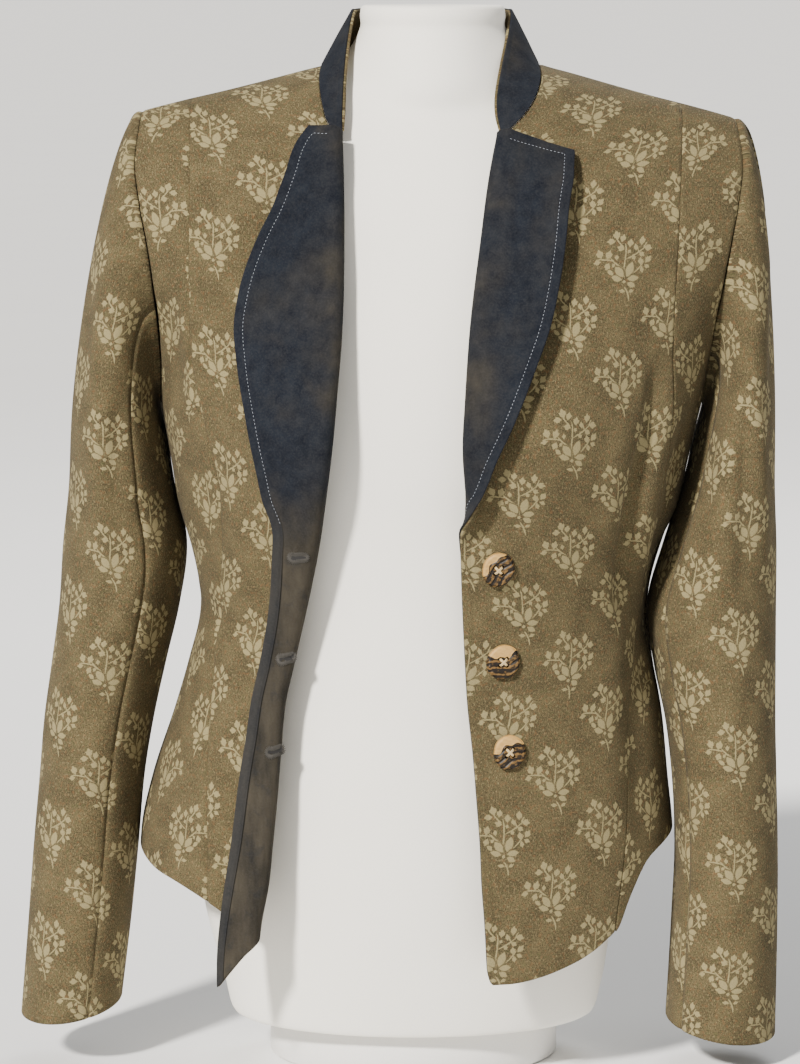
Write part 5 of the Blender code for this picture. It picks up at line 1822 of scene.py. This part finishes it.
def antlerMaterial():
    look = Look("antler", {
        "Roughness": 0.5, "Specular IOR Level": 0.25, "Coat Weight": 0.06, "Coat Roughness": 0.3})
    place = look.clothPlace()
    bark, hole = look.attribute("bark"), look.attribute("hole")
    streak = look.noise(place, 1.6, 4.0, 0.6, (0.5, 1, 1))
    pores = look.noise(place, 0.8, 2.0)
    bone = look.mix(streak, paint(206, 172, 104), paint(152, 108, 54))
    knots = look.noise(place, 3.2, 3.0, 0.6)
    rough = look.above(bark + (streak + knots - 1.0) * 1.4, 0.98, 0.3)
    skin = look.mix(rough, paint(26, 19, 11), paint(112, 84, 44))
    colour = look.mix(look.above(bark + (pores - 0.5) * 0.3, 0.25, 0.25), bone, skin)
    # The drilled holes are painted dark brown: painted shade in the recesses.
    look.colour(look.mix(hole, colour, paint(38, 26, 16)))
    look.bump(streak + pores * 0.5, 0.25, 0.5)
    return look.material


def formMaterial():
    look = Look("form_white", {"Roughness": 0.72, "Specular IOR Level": 0.3})
    place = look.clothPlace()
    x, y, _ = look.split(place)
    knit = (x * 7.0).do("SINE") * (y * 7.0).do("SINE")
    fuzz = look.noise(place, 1.4, 3.0, 0.6)
    broad = look.noise(place, 90, 2.0)
    colour = look.mix(broad, paint(246, 242, 232), paint(252, 249, 240))
    look.colour(look.mix(look.above(fuzz, 0.45, 0.4) * 0.18, colour, paint(226, 221, 210)))
    look.bump(knit * 0.25 + fuzz * 0.5, 0.12, 0.4)
    return look.material


def plainMaterial(name, roughness, size, detail, first, second, bump=()):
    # Two tints in spots of this size in millimetres, and the bump's distance and strength.
    look = Look(name, {"Roughness": roughness})
    spots = look.noise(look.objectPlace(), size, detail)
    look.colour(look.mix(spots, paint(*first), paint(*second)))
    if bump:
        look.bump(spots, *bump)
    return look.material


materials = {
    "loden_cloth": clothMaterial(),
    "navy_suede": suedeMaterial(),
    "antler": antlerMaterial(),
    "form_white": formMaterial(),
    "base_white": plainMaterial("base_white", 0.45, 1.2, 3.0, (226, 224, 219), (236, 234, 230), (0.05, 0.4)),
    # Near-black tints for the buttonhole slits, which are painted shade.
    "slot": plainMaterial("buttonhole_slit_shade", 0.95, 0.8, 2.0, (20, 20, 22), (44, 42, 40)),
}
for name, first, second in (
    ("topstitch", (118, 124, 134), (158, 163, 170)),
    ("hole_thread", (27, 26, 24), (66, 62, 55)),
    ("button_thread", (176, 148, 100), (214, 190, 142)),
):
    materials[name] = plainMaterial(name, 0.6, 0.35, 2.0, first, second, (0.1, 0.5))
print("materials made")

trees = {"stitches": stitchTree()}
lapels = [lapelPath(-1), lapelPath(1)]
topstitch = stitchRow(
    "lapel_topstitching", lapels, [unit(np.gradient(path, axis=0)) for path in lapels],
    *stitchLook["lapel"], materials["topstitch"])
holePaths, holeLays, slitShades = buttonholes()
holeStitches = stitchRow(
    "buttonhole_stitching", holePaths, holeLays, *stitchLook["hole"], materials["hole_thread"])
# Sheets in the buttonhole slits, coloured near-black as painted shade.
slitShadePoints, starts = merged(slitShades)
slitShadeFaces = [list(range(start, start + len(slot))) for start, slot in zip(starts, slitShades)]
slitShadePiece = buildMesh("buttonhole_slit_shades", slitShadePoints, slitShadeFaces, None)
threadPoints, threadFaces = tube(threads, buttonLook["threadRadius"])
threadPiece = buildMesh("button_threads", threadPoints, threadFaces, None)
print("stitching laid")

# The material of each piece, which is its slot too except on the base, and for cloth and suede the cut of
# what shows: its width and length in metres, its area in square metres, and how it is held.
pieces = {
    "front_centre_right": ("loden_cloth", (0.180, 0.687), 0.0750, "draped"),
    "front_centre_left": ("loden_cloth", (0.203, 0.695), 0.0966, "draped"),
    "front_side_right": ("loden_cloth", (0.115, 0.584), 0.0398, "draped"),
    "front_side_left": ("loden_cloth", (0.108, 0.609), 0.0351, "draped"),
    "back_right": ("loden_cloth", (0.245, 0.555), 0.1242, "draped"),
    "back_left": ("loden_cloth", (0.245, 0.557), 0.1234, "draped"),
    "sleeve_upper_right": ("loden_cloth", (0.208, 0.632), 0.1060, "hung"),
    "sleeve_upper_left": ("loden_cloth", (0.218, 0.638), 0.1170, "hung"),
    "sleeve_under_right": ("loden_cloth", (0.150, 0.489), 0.0508, "hung"),
    "sleeve_under_left": ("loden_cloth", (0.125, 0.500), 0.0443, "hung"),
    "collar_inner": ("loden_cloth", (0.419, 0.045), 0.0132, "draped"),
    "collar_outer": ("navy_suede", (0.419, 0.045), 0.0135, "draped"),
    "facing_right": ("navy_suede", (0.128, 0.590), 0.0510, "folded"),
    "facing_left": ("navy_suede", (0.125, 0.586), 0.0549, "folded"),
    "button_1": ("antler",),
    "button_2": ("antler",),
    "button_3": ("antler",),
    "dress_form": ("form_white",),
    "form_base": ("base_white",),
}
for name, (look, *cut) in pieces.items():
    obj = looks[name]
    obj.data.materials.append(materials[look])
    obj.name = obj.data.name = name + "_look"
    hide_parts(name)
    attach(obj, "root")
for obj, slot, look in (
    (topstitch, "navy_suede", None), (holeStitches, "navy_suede", None),
    (slitShadePiece, "navy_suede", "slot"), (threadPiece, "antler", "button_thread"),
):
    if look:
        obj.data.materials.append(materials[look])
    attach(obj, "root")

# Studio

studio = {
    "lens": 129.36,
    "distance": 2.6,
    "height": 0.76,
    "aim": 81.381,
    "middle": -21.5,
    "world": 0.34,
    "floor": 60.0,
    "floorHeight": -0.0006,
    # Lights: kind, place, aim, strength, tint, and width.
    "lights": {
        "sun": ("SUN", (-1.4, -2.2, 1.9), (0, 0, 0), 7.4, (1.0, 0.96, 0.9), 6.0),
        "fill": ("AREA", (2.4, -2.0, 1.1), (0, 0, 0.4), 9.0, (0.93, 0.96, 1.0), 1.8),
        "rim": ("AREA", (0.6, 2.1, 2.2), (0, 0, 0.5), 42.0, (1.0, 1.0, 1.0), 1.2),
    },
}


def addLight(name, kind, place, aim, power, tint, width):
    # An area light of this width in metres, or a sun of this width in degrees.
    data = bpy.data.lights.new(name, kind)
    data.energy = power
    data.color = tint
    if kind == "SUN":
        data.angle = np.radians(width)
    else:
        data.size = width
    obj = linked(name, data)
    obj.location = place
    obj.rotation_euler = (Vector(aim) - Vector(place)).to_track_quat("-Z", "Y").to_euler()


def floorPiece():
    reach = studio["floor"]
    corners = [(-reach, -reach), (reach, -reach), (reach, reach), (-reach, reach)]
    mesh = bpy.data.meshes.new("floor")
    mesh.from_pydata([(x, y, studio["floorHeight"]) for x, y in corners], [], [(0, 1, 2, 3)])
    mesh.materials.append(plainMaterial("floor", 0.9, 300, 2.0, (236, 236, 235), (240, 240, 239)))
    linked("floor", mesh)


floorPiece()
world = bpy.data.worlds.new("studio")
bpy.context.scene.world = world
world.use_nodes = True
colourSocket, strengthSocket = world.node_tree.nodes["Background"].inputs[:2]
colourSocket.default_value = (1.0, 1.0, 1.0, 1)
strengthSocket.default_value = studio["world"]
for name, facts in studio["lights"].items():
    addLight(name, *facts)

cameraData = bpy.data.cameras.new("camera")
cameraData.lens = studio["lens"]
cameraData.sensor_width = 36.0
camera = linked("camera", cameraData)
camera.location = (
    (studio["middle"] - rowOrigin[0]) / 1000, -studio["distance"] - rowOrigin[1] / 1000, studio["height"])
camera.rotation_euler = (np.radians(studio["aim"]), 0, 0)
bpy.context.scene.camera = camera
print("studio ready")
